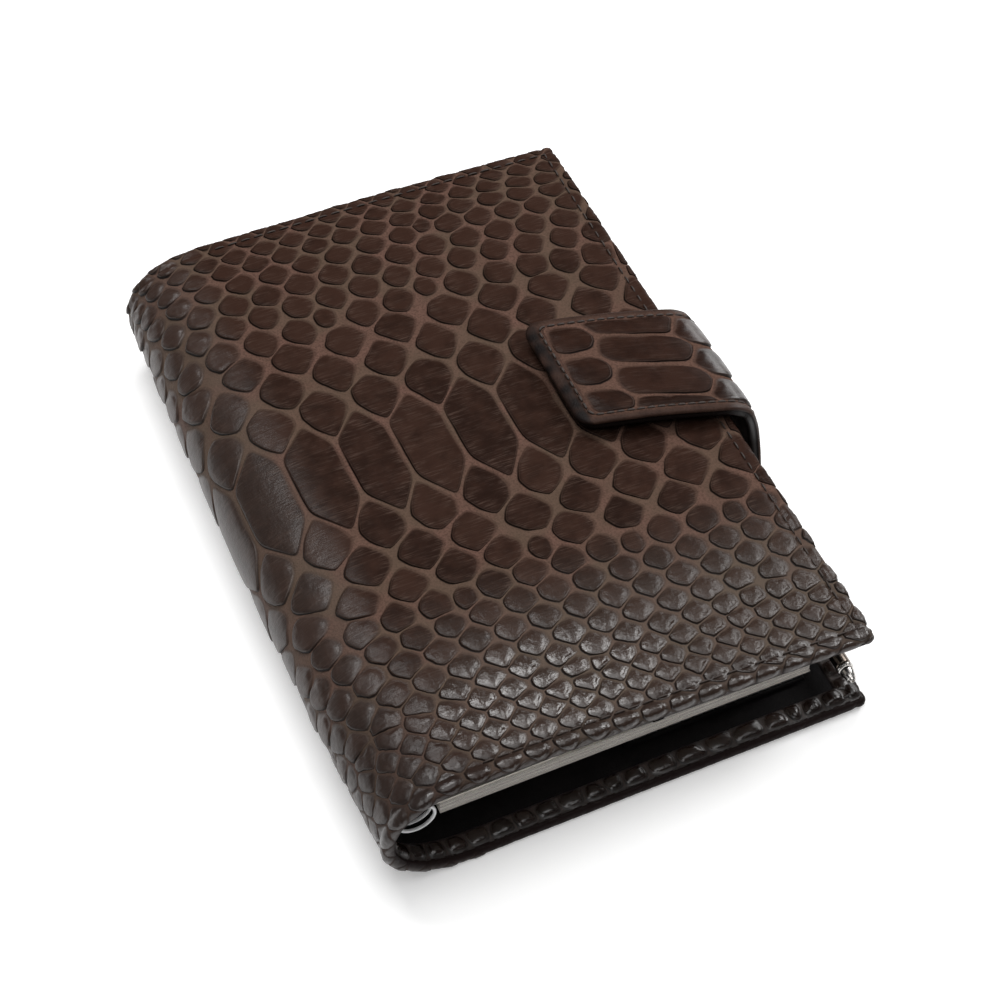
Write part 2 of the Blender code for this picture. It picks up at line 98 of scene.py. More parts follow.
# ---------------------------------------------------------------- the section
def section():
    """Outer line of the covers and spine, read every 0.4 mm along its length."""
    pts = [(BACK_FORE_X + (ROLL_X - BACK_FORE_X) * i / 80, 0.0) for i in range(80)]
    pts += [roll(t) for t in np.linspace(0, 90, 121)]
    pts += [mirrored(roll(t)) for t in np.linspace(90, 0, 121)[1:]]
    pts += [mirrored((ROLL_X + (FRONT_FORE_X - ROLL_X) * i / 80, 0.0)) for i in range(1, 81)]
    p = np.array(pts)
    d = np.r_[0, np.cumsum(np.hypot(*np.diff(p, axis=0).T))]
    s = np.arange(0.0, d[-1], 0.4)
    x, z = np.interp(s, d, p[:, 0]), np.interp(s, d, p[:, 1])
    k = np.ones(7) / 7
    tx, tz = np.gradient(x), np.gradient(z)
    tx = np.convolve(np.pad(tx, 3, "edge"), k, "valid")
    tz = np.convolve(np.pad(tz, 3, "edge"), k, "valid")
    n = np.hypot(tx, tz)
    return s, x, z, tx / n, tz / n


SEC_S, SEC_X, SEC_Z, SEC_TX, SEC_TZ = section()
S_END = float(SEC_S[-1])
S_MID = float(SEC_S[np.argmin(SEC_X)])
_front = SEC_S > S_MID
S_ZERO = float(np.interp(0.0, SEC_X[_front], SEC_S[_front]))   # above the origin, on the front
S_BACK_ROLL = float(np.interp(-ROLL_X, -SEC_X[~_front], SEC_S[~_front]))


def bow(v):
    """The spine bellies a little along its length."""
    k = v / 94.0
    return -1.0 + 1.0 * k + 1.9 * k * k


def cover_frame(s, v, sink=True):
    """Base point, tangent, outward normal and thickness of the covers at (s, v)."""
    s, v = np.asarray(s, float), np.asarray(v, float)
    x, z = np.interp(s, SEC_S, SEC_X), np.interp(s, SEC_S, SEC_Z)
    tx, tz = np.interp(s, SEC_S, SEC_TX), np.interp(s, SEC_S, SEC_TZ)
    n = np.hypot(tx, tz)
    tx, tz = tx / n, tz / n
    belly = np.clip((ROLL_X - x) / ROLL_DEPTH, 0, 1) ** 1.5
    crown = np.where(s > S_MID, 0.8 * np.sin(np.pi * np.clip((x - ROLL_X) / 106.0, 0, 1)), 0.0)
    off = 0.35 + 0.05 * smooth01((S_BACK_ROLL + 12 - s) / 14.0)
    nx, nz = -tz, tx
    push = crown - (off if sink else 0.0)
    zero = np.zeros_like(x)
    P = np.stack([x + bow(v) * belly + nx * push, v + zero, z + nz * push], -1)
    T = np.stack([tx, zero, tz], -1)
    N = np.stack([nx, zero, nz], -1)
    return P, T, N, 3.3 + push


def wrap(sv, h, rect, rc, tm, r, frame_fn, full=1.0):
    """Lay points of the flat pattern on a surface whose edges turn over."""
    s0, s1, v0, v1 = rect
    q = np.stack([np.clip(sv[:, 0], s0 + rc, s1 - rc), np.clip(sv[:, 1], v0 + rc, v1 - rc)], -1)
    d = sv - q
    dist = np.hypot(d[:, 0], d[:, 1])
    unit = d / np.maximum(dist, 1e-9)[:, None]
    out = dist > rc
    b = np.where(out[:, None], q + unit * rc, sv)
    t = np.maximum(dist - rc, 0.0)
    phi = np.pi * np.clip(t / tm, 0, 1)
    P, T, N, D = frame_fn(b[:, 0], b[:, 1])
    lat = T * unit[:, :1] + np.array([0.0, 1.0, 0.0]) * unit[:, 1:]
    lat = np.where(out[:, None], lat, 0.0)
    sn, cs = np.maximum(np.sin(phi), 0)[:, None], np.cos(phi)[:, None]
    half = (D / 2)[:, None]
    pos = P + lat * (r * sn ** full) - N * (half * (1 - np.sign(cs) * np.abs(cs) ** full))
    nrm = lat * sn ** (2 - full) / r + N * np.sign(cs) * np.abs(cs) ** (2 - full) / half
    nrm /= np.maximum(np.linalg.norm(nrm, axis=1), 1e-9)[:, None]
    return pos + nrm * np.asarray(h)[:, None]


# ---------------------------------------------------------------- scale cells
def clip_half(poly, a, b, c):
    out = []
    n = len(poly)
    for i in range(n):
        p, q = poly[i], poly[(i + 1) % n]
        dp, dq = a * p[0] + b * p[1] - c, a * q[0] + b * q[1] - c
        if dp <= 0:
            out.append(p)
        if (dp < 0 < dq) or (dq < 0 < dp):
            k = dp / (dp - dq)
            out.append((p[0] + (q[0] - p[0]) * k, p[1] + (q[1] - p[1]) * k))
    return out


def cells_of(seeds, weights, border, near=34):
    """One convex cell for each seed: its share of the skin, cut at the border."""
    pts = np.asarray(seeds, float)
    w = np.asarray(weights, float)
    cells = []
    xs = [p[0] for p in border]
    ys = [p[1] for p in border]
    lo, hi = (min(xs) - 8, min(ys) - 8), (max(xs) + 8, max(ys) + 8)
    halfplanes = []
    for i in range(len(border)):
        p, q = border[i], border[(i + 1) % len(border)]
        a, b = q[1] - p[1], -(q[0] - p[0])
        halfplanes.append((a, b, a * p[0] + b * p[1]))
    for i, (x, y) in enumerate(pts):
        if not (lo[0] < x < hi[0] and lo[1] < y < hi[1]):
            cells.append(None)
            continue
        d2 = (pts[:, 0] - x) ** 2 + (pts[:, 1] - y) ** 2
        order = np.argpartition(d2, min(near, len(pts) - 1))[: near + 1]
        order = order[np.argsort(d2[order])]
        poly = [(x - 40, y - 40), (x + 40, y - 40), (x + 40, y + 40), (x - 40, y + 40)]
        for j in order:
            if j == i:
                continue
            a, b = 2 * (pts[j, 0] - x), 2 * (pts[j, 1] - y)
            c = (pts[j] ** 2).sum() - w[j] - x * x - y * y + w[i]
            poly = clip_half(poly, a, b, c)
            if len(poly) < 3:
                break
        if len(poly) >= 3:
            for a, b, c in halfplanes:
                poly = clip_half(poly, a, b, c)
                if len(poly) < 3:
                    break
        area = 0.0
        if len(poly) >= 3:
            p = np.array(poly)
            q = np.roll(p, -1, 0)
            area = 0.5 * float((p[:, 0] * q[:, 1] - q[:, 0] * p[:, 1]).sum())
        cells.append(poly if area > 0.4 else None)
    return cells


class SkinMesh:
    """Collects cells into one mesh with the values its material reads."""

    def __init__(self):
        self.sv, self.h, self.mask, self.rim, self.rnd, self.rad = [], [], [], [], [], []
        self.faces, self.grid, self.count = [], {}, 0

    def add(self, sv, h, mask, rim, rnd, rad=1.0):
        n = len(sv)
        self.sv.append(np.asarray(sv))
        self.h.append(np.broadcast_to(h, n).astype(float))
        self.mask.append(np.broadcast_to(mask, n).astype(float))
        self.rim.append(np.broadcast_to(rim, n).astype(float))
        self.rnd.append(np.full(n, rnd))
        self.rad.append(np.full(n, rad))
        self.count += n
        return np.arange(self.count - n, self.count)

    def shared(self, p, rim):
        """A point on the line between cells, made once."""
        k = (int(math.floor(p[0] / 0.01)), int(math.floor(p[1] / 0.01)))
        for a in (-1, 0, 1):
            for b in (-1, 0, 1):
                hit = self.grid.get((k[0] + a, k[1] + b))
                if hit is not None and abs(hit[0] - p[0]) + abs(hit[1] - p[1]) < 0.012:
                    return hit[2]
        i = int(self.add(np.array([p]), 0.0, 0.0, rim, 0.5)[0])
        self.grid[k] = (p[0], p[1], i)
        return i

    def cell(self, poly, gap, power, h_lo, h_hi, dome, toward, rnd, rng, step, centre=None, oval=None, ragged=0.0, wobble=1.0):
        n = len(poly)
        pts = np.array(poly)
        nxt = np.roll(pts, -1, 0)
        cr = pts[:, 0] * nxt[:, 1] - nxt[:, 0] * pts[:, 1]
        area = cr.sum() / 2
        c = ((pts + nxt) * cr[:, None]).sum(0) / (6 * area)
        if centre is not None:
            c = np.array(centre, float)
        ring = []
        nrm, dst = [], []
        inside = True
        for i in range(n):
            p, q = poly[i], poly[(i + 1) % n]
            ex, ez = q[0] - p[0], q[1] - p[1]
            ln = math.hypot(ex, ez)
            if ln < 1e-6:
                continue
            nx, ny = ez / ln, -ex / ln
            d = (p[0] - c[0]) * nx + (p[1] - c[1]) * ny
            inside = inside and d > 0.6
            nrm.append((nx, ny))
            dst.append(d)
            if ln < 0.02:
                continue
            k = max(1, int(round(ln / step)))
            flip = (p[0], p[1]) > (q[0], q[1])
            a, b = (q, p) if flip else (p, q)
            line = [(a[0] + (b[0] - a[0]) * m / k, a[1] + (b[1] - a[1]) * m / k) for m in range(k + 1)]
            if flip:
                line.reverse()
            ring += line[:-1]
        if centre is not None and not inside:
            return self.cell(poly, gap, power, h_lo, h_hi, dome, toward, rnd, rng, step, ragged=ragged, wobble=wobble)
        rp = np.array(ring)
        off = rp - c
        r0 = np.hypot(off[:, 0], off[:, 1])
        e = off / np.maximum(r0, 1e-9)[:, None]
        nrm, dst = np.array(nrm), np.maximum(np.array(dst) - gap, 0.25)
        rs = (np.maximum(e @ nrm.T / dst, 0) ** power).sum(1) ** (-1.0 / power)
        if oval is not None:
            a, b, pw, shear, turn = oval
            ca, sa = math.cos(turn), math.sin(turn)
            ea, eb = e[:, 0] * ca + e[:, 1] * sa, e[:, 1] * ca - e[:, 0] * sa
            ox, oy = np.abs(ea - shear * eb) / a, np.abs(eb) / b
            re = (ox ** pw + oy ** pw) ** (-1.0 / pw)
            rs = (rs ** -14.0 + re ** -14.0) ** (-1.0 / 14.0)
        ang = np.arctan2(e[:, 1], e[:, 0])
        ph = rng.uniform(0, 6.28, 3)
        rs *= 1 + wobble * (0.020 * np.sin(3 * ang + ph[0]) + 0.014 * np.sin(5 * ang + ph[1]) + 0.008 * np.sin(8 * ang + ph[2]))
        if ragged:
            rs *= 1 + ragged * rng.normal(size=len(rs)).clip(-2, 1.2)
        rs = np.minimum(rs, r0 - 0.12)
        rs = np.maximum(rs, 0.2)
        xi = e @ np.array(toward)
        free = np.clip((1 - xi) / 2, 0, 1)
        held = np.clip((xi + 0.05) / 0.9, 0, 1)             # grown to the skin on this side
        he = h_lo * 0.6 * held + (h_lo + (h_hi - h_lo) * free ** 0.7) * (1 - held)
        hm = 0.35 * h_lo + 0.6 * h_hi
        # painted shadow: dark sets how strongly the shadow line is painted; it is strongest along the scales' free
        # edges
        dark = 0.22 + 0.78 * np.clip(free * 1.25 - 0.15, 0, 1) ** 1.4
        ids = np.array([self.shared(tuple(p), 0.0) for p in rp])
        rings = [ids]
        small = float(np.median(rs))
        lip = min(0.45, 0.12 * small)
        soft = min(0.85, 0.2 * small)

        def inset(crisp, blend):
            return rs - crisp * (1 - held) - blend * soft * held
        spec = [
            (np.minimum(rs + 0.52, rs + 0.66 * (r0 - rs)), -0.03 * free * (1 - held), 0.0 * held, 0.08 * dark),
            (np.minimum(rs + 0.24, rs + 0.40 * (r0 - rs)), -0.07 * free * (1 - held), 0.05 * held, dark),
            (inset(-0.02, 0.12), he * 0.42, 0.22 * held + 0.45 * (1 - held), dark),
            (inset(0.12, 0.42), he * 0.92, 0.60 * held + 0.80 * (1 - held), 0.18 * dark),
            (inset(0.38, 0.85), he * (0.90 + 0.35 * held), 0.92 * held + 0.96 * (1 - held), 0.50 * dark),
            (inset(0.40 + lip, 1.5), he + 0.25 * dome + held * 0.22 * hm, 1.0, 0.03 * dark),
        ]
        for f in (0.66, 0.36):
            inner = np.minimum(rs * f, spec[-1][0] * 0.9)
            spec.append((inner, hm + (he - hm) * f * (1 - 0.35 * held) + dome * (1 - f * f), 1.0, 0.0 * dark))
        for (rad, hh, m, dk), part in zip(spec, (1.0, 1.0, 1.0, 1.0, 0.95, 0.84, 0.62, 0.34)):
            rings.append(self.add(c + e * np.maximum(rad, 0.05)[:, None], hh, m, dk, rnd, part))
        top = int(self.add(np.array([c]), hm + dome, 1.0, 0.0, rnd, 0.0)[0])
        m = len(ids)
        for a, b in zip(rings[:-1], rings[1:]):
            for i in range(m):
                j = (i + 1) % m
                self.faces.append((int(a[i]), int(a[j]), int(b[j]), int(b[i])))
        last = rings[-1]
        for i in range(m):
            self.faces.append((int(last[i]), int(last[(i + 1) % m]), top))

    def finish(self, name, mapper, modulate=None, crumple=None):
        sv = np.concatenate(self.sv)
        h = np.concatenate(self.h)
        mask = np.concatenate(self.mask)
        rim = np.concatenate(self.rim)
        rnd = np.concatenate(self.rnd)
        rad = np.concatenate(self.rad)
        edge = np.zeros(len(sv))
        if modulate is not None:
            gain, fade, edge = modulate(sv)
            h = h * gain
            mask = mask * fade
            rim = rim * fade
        if crumple is not None:
            h = h + crumple(sv, mask)
        pos = mapper(sv, h)
        return make_mesh(name, row(pos), self.faces, {
            "scale_mask": mask, "scale_rim": rim, "scale_rnd": rnd, "scale_rad": rad, "scale_edge": edge},
            np.c_[sv, np.zeros(len(sv))])


def make_mesh(name, verts, faces, floats=None, uv=None, smooth=True, out=None):
    mesh = bpy.data.meshes.new(name)
    mesh.from_pydata([tuple(v) for v in verts], [], faces)
    for key, values in (floats or {}).items():
        a = mesh.attributes.new(key, "FLOAT", "POINT")
        a.data.foreach_set("value", np.asarray(values, np.float32))
    if uv is not None:
        a = mesh.attributes.new("skin_uv", "FLOAT_VECTOR", "POINT")
        a.data.foreach_set("vector", np.asarray(uv, np.float32).ravel())
    if smooth:
        mesh.shade_smooth()
    mesh.update()
    ob = bpy.data.objects.new(name, mesh)
    bpy.context.scene.collection.objects.link(ob)
    return ob


def recalc(ob):
    bm = bmesh.new()
    bm.from_mesh(ob.data)
    bmesh.ops.recalc_face_normals(bm, faces=bm.faces)
    bm.to_mesh(ob.data)
    bm.free()
    return ob


def noise_at(pts, freq, seed=0.0):
    """Smooth noise in -1..1 at each point of a flat pattern."""
    return np.array([noise.noise(Vector((p[0] * freq, p[1] * freq, seed))) for p in pts])


# ---------------------------------------------------------------- materials
def tree(name):
    m = bpy.data.materials.new(name)
    m.use_nodes = True
    return m, m.node_tree, m.node_tree.nodes["Principled BSDF"]


def put(nt, sock, val):
    if isinstance(val, bpy.types.NodeSocket):
        nt.links.new(val, sock)
    else:
        sock.default_value = val


def attr(nt, name):
    n = nt.nodes.new("ShaderNodeAttribute")
    n.attribute_name = name
    return n


def calc(nt, op, a, b=0.0, clamp=False):
    n = nt.nodes.new("ShaderNodeMath")
    n.operation = op
    n.use_clamp = clamp
    put(nt, n.inputs[0], a)
    put(nt, n.inputs[1], b)
    return n.outputs[0]


def mixc(nt, fac, a, b, blend="MIX"):
    n = nt.nodes.new("ShaderNodeMix")
    n.data_type = "RGBA"
    n.blend_type = blend
    put(nt, n.inputs[0], fac)
    put(nt, n.inputs[6], a if isinstance(a, bpy.types.NodeSocket) else (*a, 1.0))
    put(nt, n.inputs[7], b if isinstance(b, bpy.types.NodeSocket) else (*b, 1.0))
    return n.outputs[2]


def mixf(nt, fac, a, b):
    n = nt.nodes.new("ShaderNodeMix")
    n.data_type = "FLOAT"
    put(nt, n.inputs[0], fac)
    put(nt, n.inputs[2], a)
    put(nt, n.inputs[3], b)
    return n.outputs[0]


def times(nt, vec, scale):
    n = nt.nodes.new("ShaderNodeVectorMath")
    n.operation = "MULTIPLY"
    nt.links.new(vec, n.inputs[0])
    n.inputs[1].default_value = scale
    return n.outputs[0]


def noisy(nt, vec, scale, detail=2.0, rough=0.5, distort=0.0):
    n = nt.nodes.new("ShaderNodeTexNoise")
    nt.links.new(vec, n.inputs["Vector"])
    n.inputs["Scale"].default_value = scale
    n.inputs["Detail"].default_value = detail
    n.inputs["Roughness"].default_value = rough
    n.inputs["Distortion"].default_value = distort
    return n.outputs[0]


def voronoi(nt, vec, scale, feature="F1"):
    n = nt.nodes.new("ShaderNodeTexVoronoi")
    n.feature = feature
    nt.links.new(vec, n.inputs["Vector"])
    n.inputs["Scale"].default_value = scale
    return n.outputs["Distance"]


def ramp(nt, fac, lo, hi):
    n = nt.nodes.new("ShaderNodeMapRange")
    n.interpolation_type = "SMOOTHSTEP"
    put(nt, n.inputs["Value"], fac)
    n.inputs["From Min"].default_value = lo
    n.inputs["From Max"].default_value = hi
    return n.outputs["Result"]


def bump(nt, bsdf, height, strength, distance):
    n = nt.nodes.new("ShaderNodeBump")
    n.inputs["Strength"].default_value = strength
    n.inputs["Distance"].default_value = distance
    nt.links.new(height, n.inputs["Height"])
    nt.links.new(n.outputs[0], bsdf.inputs["Normal"])


def scaled_leather(name, dark, mid, valley_a, valley_b, rim_col, gloss=0.36, fibre=1.0, zoned=True, shine=0.15, bend=None):
    """Glazed snake skin: dark scales with fine fibres, browner skin between them."""
    m, nt, bsdf = tree(name)
    uv = attr(nt, "skin_uv").outputs["Vector"]
    mask = attr(nt, "scale_mask").outputs["Fac"]
    rim = attr(nt, "scale_rim").outputs["Fac"]
    rnd = attr(nt, "scale_rnd").outputs["Fac"]
    edge = attr(nt, "scale_edge").outputs["Fac"]
    part = nt.nodes.new("ShaderNodeSeparateXYZ")
    nt.links.new(uv, part.inputs[0])
    if zoned:
        near = ramp(nt, calc(nt, "MULTIPLY", part.outputs[1], -1.0), 34.0, 72.0)
        from_spine = calc(nt, "ABSOLUTE", calc(nt, "SUBTRACT", part.outputs[0], S_MID))
        spine = ramp(nt, calc(nt, "MULTIPLY", from_spine, -1.0), -36.0, -20.0)
        near = calc(nt, "MULTIPLY", near, mixf(nt, ramp(nt, calc(nt, "MULTIPLY", from_spine, -1.0), -50.0, -26.0), 1.0, 0.35))
        near = calc(nt, "MAXIMUM", near, calc(nt, "MULTIPLY", spine, 0.40))
        du = calc(nt, "MULTIPLY", calc(nt, "SUBTRACT", part.outputs[0], S_END - 80.0), 1 / 36.0)
        dv = calc(nt, "MULTIPLY", calc(nt, "ADD", part.outputs[1], 77.0), 1 / 17.0)
        polish = ramp(nt, calc(nt, "SUBTRACT", 1.0, calc(nt, "ADD", calc(nt, "MULTIPLY", du, du), calc(nt, "MULTIPLY", dv, dv))), 0.0, 0.8)
    elif bend:
        near = calc(nt, "MULTIPLY", ramp(nt, calc(nt, "MULTIPLY", part.outputs[0], -1.0), -bend - 3.0, -bend + 3.0), mask)
        near = calc(nt, "MULTIPLY", near, ramp(nt, part.outputs[0], bend - 16.0, bend - 8.0))
    else:
        near = 0.0
    patch = noisy(nt, uv, 0.16, 3.0, 0.6)
    grain = noisy(nt, uv, 3.4, 3.0, 0.65)
    streak = noisy(nt, times(nt, uv, (0.13, 2.3, 1.0)), 1.0, 3.0, 0.6, 0.5)
    hairs = noisy(nt, times(nt, uv, (0.17, 3.6, 1.0)), 1.0, 2.0, 0.5, 0.9)
    line = calc(nt, "MAXIMUM", ramp(nt, streak, 0.50, 0.68), calc(nt, "MULTIPLY", ramp(nt, hairs, 0.54, 0.64), 0.85))
    rad = attr(nt, "scale_rad").outputs["Fac"]
    patchy = ramp(nt, noisy(nt, times(nt, uv, (0.22, 0.30, 1.0)), 1.0, 2.0, 0.5), 0.32, 0.62)
    gap_line = calc(nt, "MULTIPLY", patchy, mixf(nt, ramp(nt, rad, 0.35, 0.95), 0.35, 1.0))
    fibres = calc(nt, "MULTIPLY", line, gap_line)
    tone = calc(nt, "ADD", calc(nt, "MULTIPLY", rnd, 0.30), calc(nt, "MULTIPLY", patch, 0.9))
    if zoned:
        tone = calc(nt, "ADD", tone, calc(nt, "MULTIPLY", ramp(nt, part.outputs[1], 5.0, 70.0), 0.22))
    scale_col = mixc(nt, ramp(nt, tone, 0.35, 0.85), dark, mid)
    scale_col = mixc(nt, calc(nt, "MULTIPLY", fibres, 0.50 * fibre), scale_col, (0.105, 0.070, 0.056))
    speck = ramp(nt, noisy(nt, uv, 1.5, 3.0, 0.65), 0.42, 0.66)
    valley = mixc(nt, ramp(nt, patch, 0.35, 0.65), valley_a, valley_b)
    valley = mixc(nt, calc(nt, "MULTIPLY", speck, 0.6), valley, [c * 0.42 for c in valley_a])
    if zoned:
        tint = ramp(nt, noisy(nt, uv, 0.055, 2.0, 0.5, 0.3), 0.42, 0.60)
        # painted sheen: towards the near end and on the spine the valleys turn greyer and darker, and the scales turn
        # lighter and greyer
        valley = mixc(nt, near, valley, [c * 0.74 for c in (0.105, 0.068, 0.050)])
        valley = mixc(nt, calc(nt, "MULTIPLY", tint, 0.40), valley, (0.078, 0.060, 0.041))
        scale_col = mixc(nt, calc(nt, "MULTIPLY", near, 0.6), scale_col, mixc(nt, ramp(nt, grain, 0.35, 0.65), (0.0240, 0.0145, 0.0102), (0.0470, 0.0300, 0.0215)))
    base = mixc(nt, mask, valley, scale_col)
    # painted shadow: a near-black line under each scale's free edge and in the crease inside its lip
    base = mixc(nt, calc(nt, "MULTIPLY", rim, 0.95), base, [c * 0.16 for c in dark])
    if zoned:
        # painted shade: the skin at the near end beside the spine is darkened
        corner_shade = calc(nt, "MULTIPLY", ramp(nt, calc(nt, "MULTIPLY", from_spine, -1.0), -44.0, -20.0),
                       ramp(nt, calc(nt, "MULTIPLY", part.outputs[1], -1.0), 52.0, 86.0))
        base = mixc(nt, calc(nt, "MULTIPLY", corner_shade, 0.36), base, [c * 0.5 for c in dark])
        lip = ramp(nt, calc(nt, "MULTIPLY", part.outputs[1], -1.0), 86.0, 91.0)
        base = mixc(nt, calc(nt, "MULTIPLY", lip, 0.38), base, [c * 0.5 for c in dark])
    # painted shade: where the leather turns over the edges (scale_edge) it takes the near-black rim_col
    base = mixc(nt, edge, base, rim_col)
    nt.links.new(base, bsdf.inputs["Base Color"])
    if zoned:
        wall = ramp(nt, calc(nt, "MULTIPLY", from_spine, -1.0), -27.0, -15.0)
        spec = calc(nt, "ADD", mixf(nt, near, 0.025, 0.20), calc(nt, "MULTIPLY", spine, 0.07))
        spec = calc(nt, "ADD", spec, calc(nt, "MULTIPLY", calc(nt, "MULTIPLY", wall, mask), 0.22))
        nt.links.new(calc(nt, "MULTIPLY", spec, mixf(nt, edge, 1.0, 0.2)), bsdf.inputs["Specular IOR Level"])
        glaze = calc(nt, "ADD", calc(nt, "MULTIPLY", polish, 0.75), calc(nt, "MULTIPLY", near, 0.30))
        glaze = calc(nt, "ADD", glaze, calc(nt, "MULTIPLY", lip, 0.40))
        nt.links.new(calc(nt, "MULTIPLY", glaze, calc(nt, "MULTIPLY", mask, mixf(nt, edge, 1.0, 0.1))), bsdf.inputs["Coat Weight"])
        bsdf.inputs["Coat Roughness"].default_value = 0.15
        matt = mixf(nt, near, 0.16, 0.10)
    else:
        nt.links.new(mixf(nt, near, shine, 0.75), bsdf.inputs["Specular IOR Level"])
        matt = 0.0
    rough_scale = calc(nt, "ADD", calc(nt, "ADD", calc(nt, "MULTIPLY", grain, 0.22), gloss - 0.11), matt)
    rough = mixf(nt, mask, 0.66, rough_scale)
    nt.links.new(mixf(nt, edge, rough, 0.42), bsdf.inputs["Roughness"])
    h_scale = calc(nt, "ADD", calc(nt, "MULTIPLY", streak, 0.55), calc(nt, "MULTIPLY", grain, 0.25))
    dents = calc(nt, "MULTIPLY", noisy(nt, uv, 0.85, 2.0, 0.5), calc(nt, "ADD", calc(nt, "MULTIPLY", near, 1.1 if zoned else 0.0), 0.35))
    h_scale = calc(nt, "ADD", h_scale, dents)
    if zoned:
        creases = calc(nt, "MULTIPLY", noisy(nt, times(nt, uv, (1.25, 2.1, 1.0)), 1.0, 3.0, 0.6, 0.8), calc(nt, "MULTIPLY", near, 0.7))
        h_scale = calc(nt, "ADD", h_scale, creases)
    h_valley = calc(nt, "MULTIPLY", voronoi(nt, uv, 2.3), 0.9)
    bump(nt, bsdf, mixf(nt, mask, h_valley, h_scale), 0.55, 0.00016)
    nt.links.new(bsdf.inputs["Normal"].links[0].from_socket, bsdf.inputs["Coat Normal"])
    return m


def object_coords(nt):
    return nt.nodes.new("ShaderNodeTexCoord").outputs["Object"]


def grained(name, col_a, col_b, rough, scale, strength, use_uv=False, dist=0.00012, shine=0.5):
    """Pressed grain: fine pebbles with a slow change of tone."""
    m, nt, bsdf = tree(name)
    co = attr(nt, "skin_uv").outputs["Vector"] if use_uv else times(nt, object_coords(nt), (1000.0, 1000.0, 1000.0))
    tone = noisy(nt, co, 0.09, 3.0, 0.6)
    fine = noisy(nt, co, scale * 1.7, 3.0, 0.6)
    pebble = voronoi(nt, co, scale)
    nt.links.new(mixc(nt, ramp(nt, tone, 0.3, 0.7), col_a, col_b), bsdf.inputs["Base Color"])
    nt.links.new(calc(nt, "ADD", calc(nt, "MULTIPLY", fine, 0.2), rough - 0.1), bsdf.inputs["Roughness"])
    bsdf.inputs["Specular IOR Level"].default_value = shine
    bump(nt, bsdf, calc(nt, "ADD", pebble, calc(nt, "MULTIPLY", fine, 0.35)), strength, dist)
    return m


def metal(name, col_a, col_b, rough, scratch_axis, worn=0.12):
    m, nt, bsdf = tree(name)
    co = times(nt, object_coords(nt), (1000.0, 1000.0, 1000.0))
    fine = noisy(nt, times(nt, co, scratch_axis), 1.0, 3.0, 0.6)
    tone = noisy(nt, co, 0.25, 3.0, 0.6)
    nt.links.new(mixc(nt, ramp(nt, tone, 0.35, 0.7), col_a, col_b), bsdf.inputs["Base Color"])
    bsdf.inputs["Metallic"].default_value = 1.0
    nt.links.new(calc(nt, "ADD", calc(nt, "MULTIPLY", fine, 0.14 * worn / 0.12), rough - 0.05), bsdf.inputs["Roughness"])
    bump(nt, bsdf, fine, worn, 0.00003 if worn > 0.05 else 0.000004)
    return m


def paper_mat(name, col_a, col_b, cut=None):
    m, nt, bsdf = tree(name)
    co = times(nt, object_coords(nt), (1000.0, 1000.0, 1000.0))
    fibre = noisy(nt, co, 1.6, 4.0, 0.65)
    tone = noisy(nt, co, 0.05, 2.0, 0.5)
    col = mixc(nt, ramp(nt, tone, 0.3, 0.7), col_a, col_b)
    # painted shade: the upright cut faces take the much darker cut colour, standing for the shade between the leaves
    if cut:
        col = mixc(nt, attr(nt, "cut_edge").outputs["Fac"], col, mixc(nt, ramp(nt, fibre, 0.35, 0.65), cut, [c * 0.84 for c in cut]))
    nt.links.new(col, bsdf.inputs["Base Color"])
    bsdf.inputs["Roughness"].default_value = 0.85
    bump(nt, bsdf, fibre, 0.25, 0.00004)
    return m


def coated(name, col_a, col_b, rough):
    m, nt, bsdf = tree(name)
    co = times(nt, object_coords(nt), (1000.0, 1000.0, 1000.0))
    tone = noisy(nt, co, 0.8, 3.0, 0.6)
    nt.links.new(mixc(nt, ramp(nt, tone, 0.35, 0.7), col_a, col_b), bsdf.inputs["Base Color"])
    nt.links.new(calc(nt, "ADD", calc(nt, "MULTIPLY", tone, 0.2), rough - 0.1), bsdf.inputs["Roughness"])
    bump(nt, bsdf, noisy(nt, co, 5.0, 2.0), 0.1, 0.00003)
    return m


def thread_mat(name, col_a, col_b):
    m, nt, bsdf = tree(name)
    co = times(nt, object_coords(nt), (1000.0, 1000.0, 1000.0))
    twist = noisy(nt, co, 4.0, 3.0, 0.6)
    nt.links.new(mixc(nt, twist, col_a, col_b), bsdf.inputs["Base Color"])
    bsdf.inputs["Roughness"].default_value = 0.6
    bump(nt, bsdf, twist, 0.5, 0.0001)
    return m


SKIN = scaled_leather("python_skin", (0.0152, 0.0070, 0.0048), (0.0320, 0.0152, 0.0105),
                      (0.118, 0.0655, 0.0500), (0.100, 0.058, 0.043), (0.013, 0.0082, 0.0078), gloss=0.27)
# painted shade: the hem is the same python skin as the covers, given a much darker copy for the shaded inside of the
# covers
HEM_SKIN = scaled_leather("hem_skin", (0.0075, 0.0040, 0.0030), (0.0180, 0.0094, 0.0070),
                          (0.036, 0.0205, 0.0158), (0.028, 0.0165, 0.0125), (0.0100, 0.0064, 0.0056), gloss=0.24, fibre=0.3, zoned=False, shine=0.62)
# black lining and pocket, deepened to near black: partly their own black, partly painted shade inside the covers
LINING = grained("black_lining_grain", (0.0036, 0.0030, 0.0033), (0.0060, 0.0050, 0.0053), 0.66, 2.0, 0.5, use_uv=True, shine=0.10)
POCKET = grained("black_pocket_grain", (0.0036, 0.0030, 0.0033), (0.0066, 0.0055, 0.0056), 0.62, 2.0, 0.5, shine=0.10)
STRAP_BACK = grained("strap_back_grain", (0.014, 0.009, 0.0075), (0.022, 0.0145, 0.012), 0.5, 1.6, 0.4, use_uv=True)
LOOP_SKIN = grained("loop_leather", (0.018, 0.011, 0.009), (0.030, 0.019, 0.015), 0.45, 1.6, 0.45)
BOARD = paper_mat("grey_board_fibre", (0.27, 0.25, 0.22), (0.33, 0.31, 0.28))
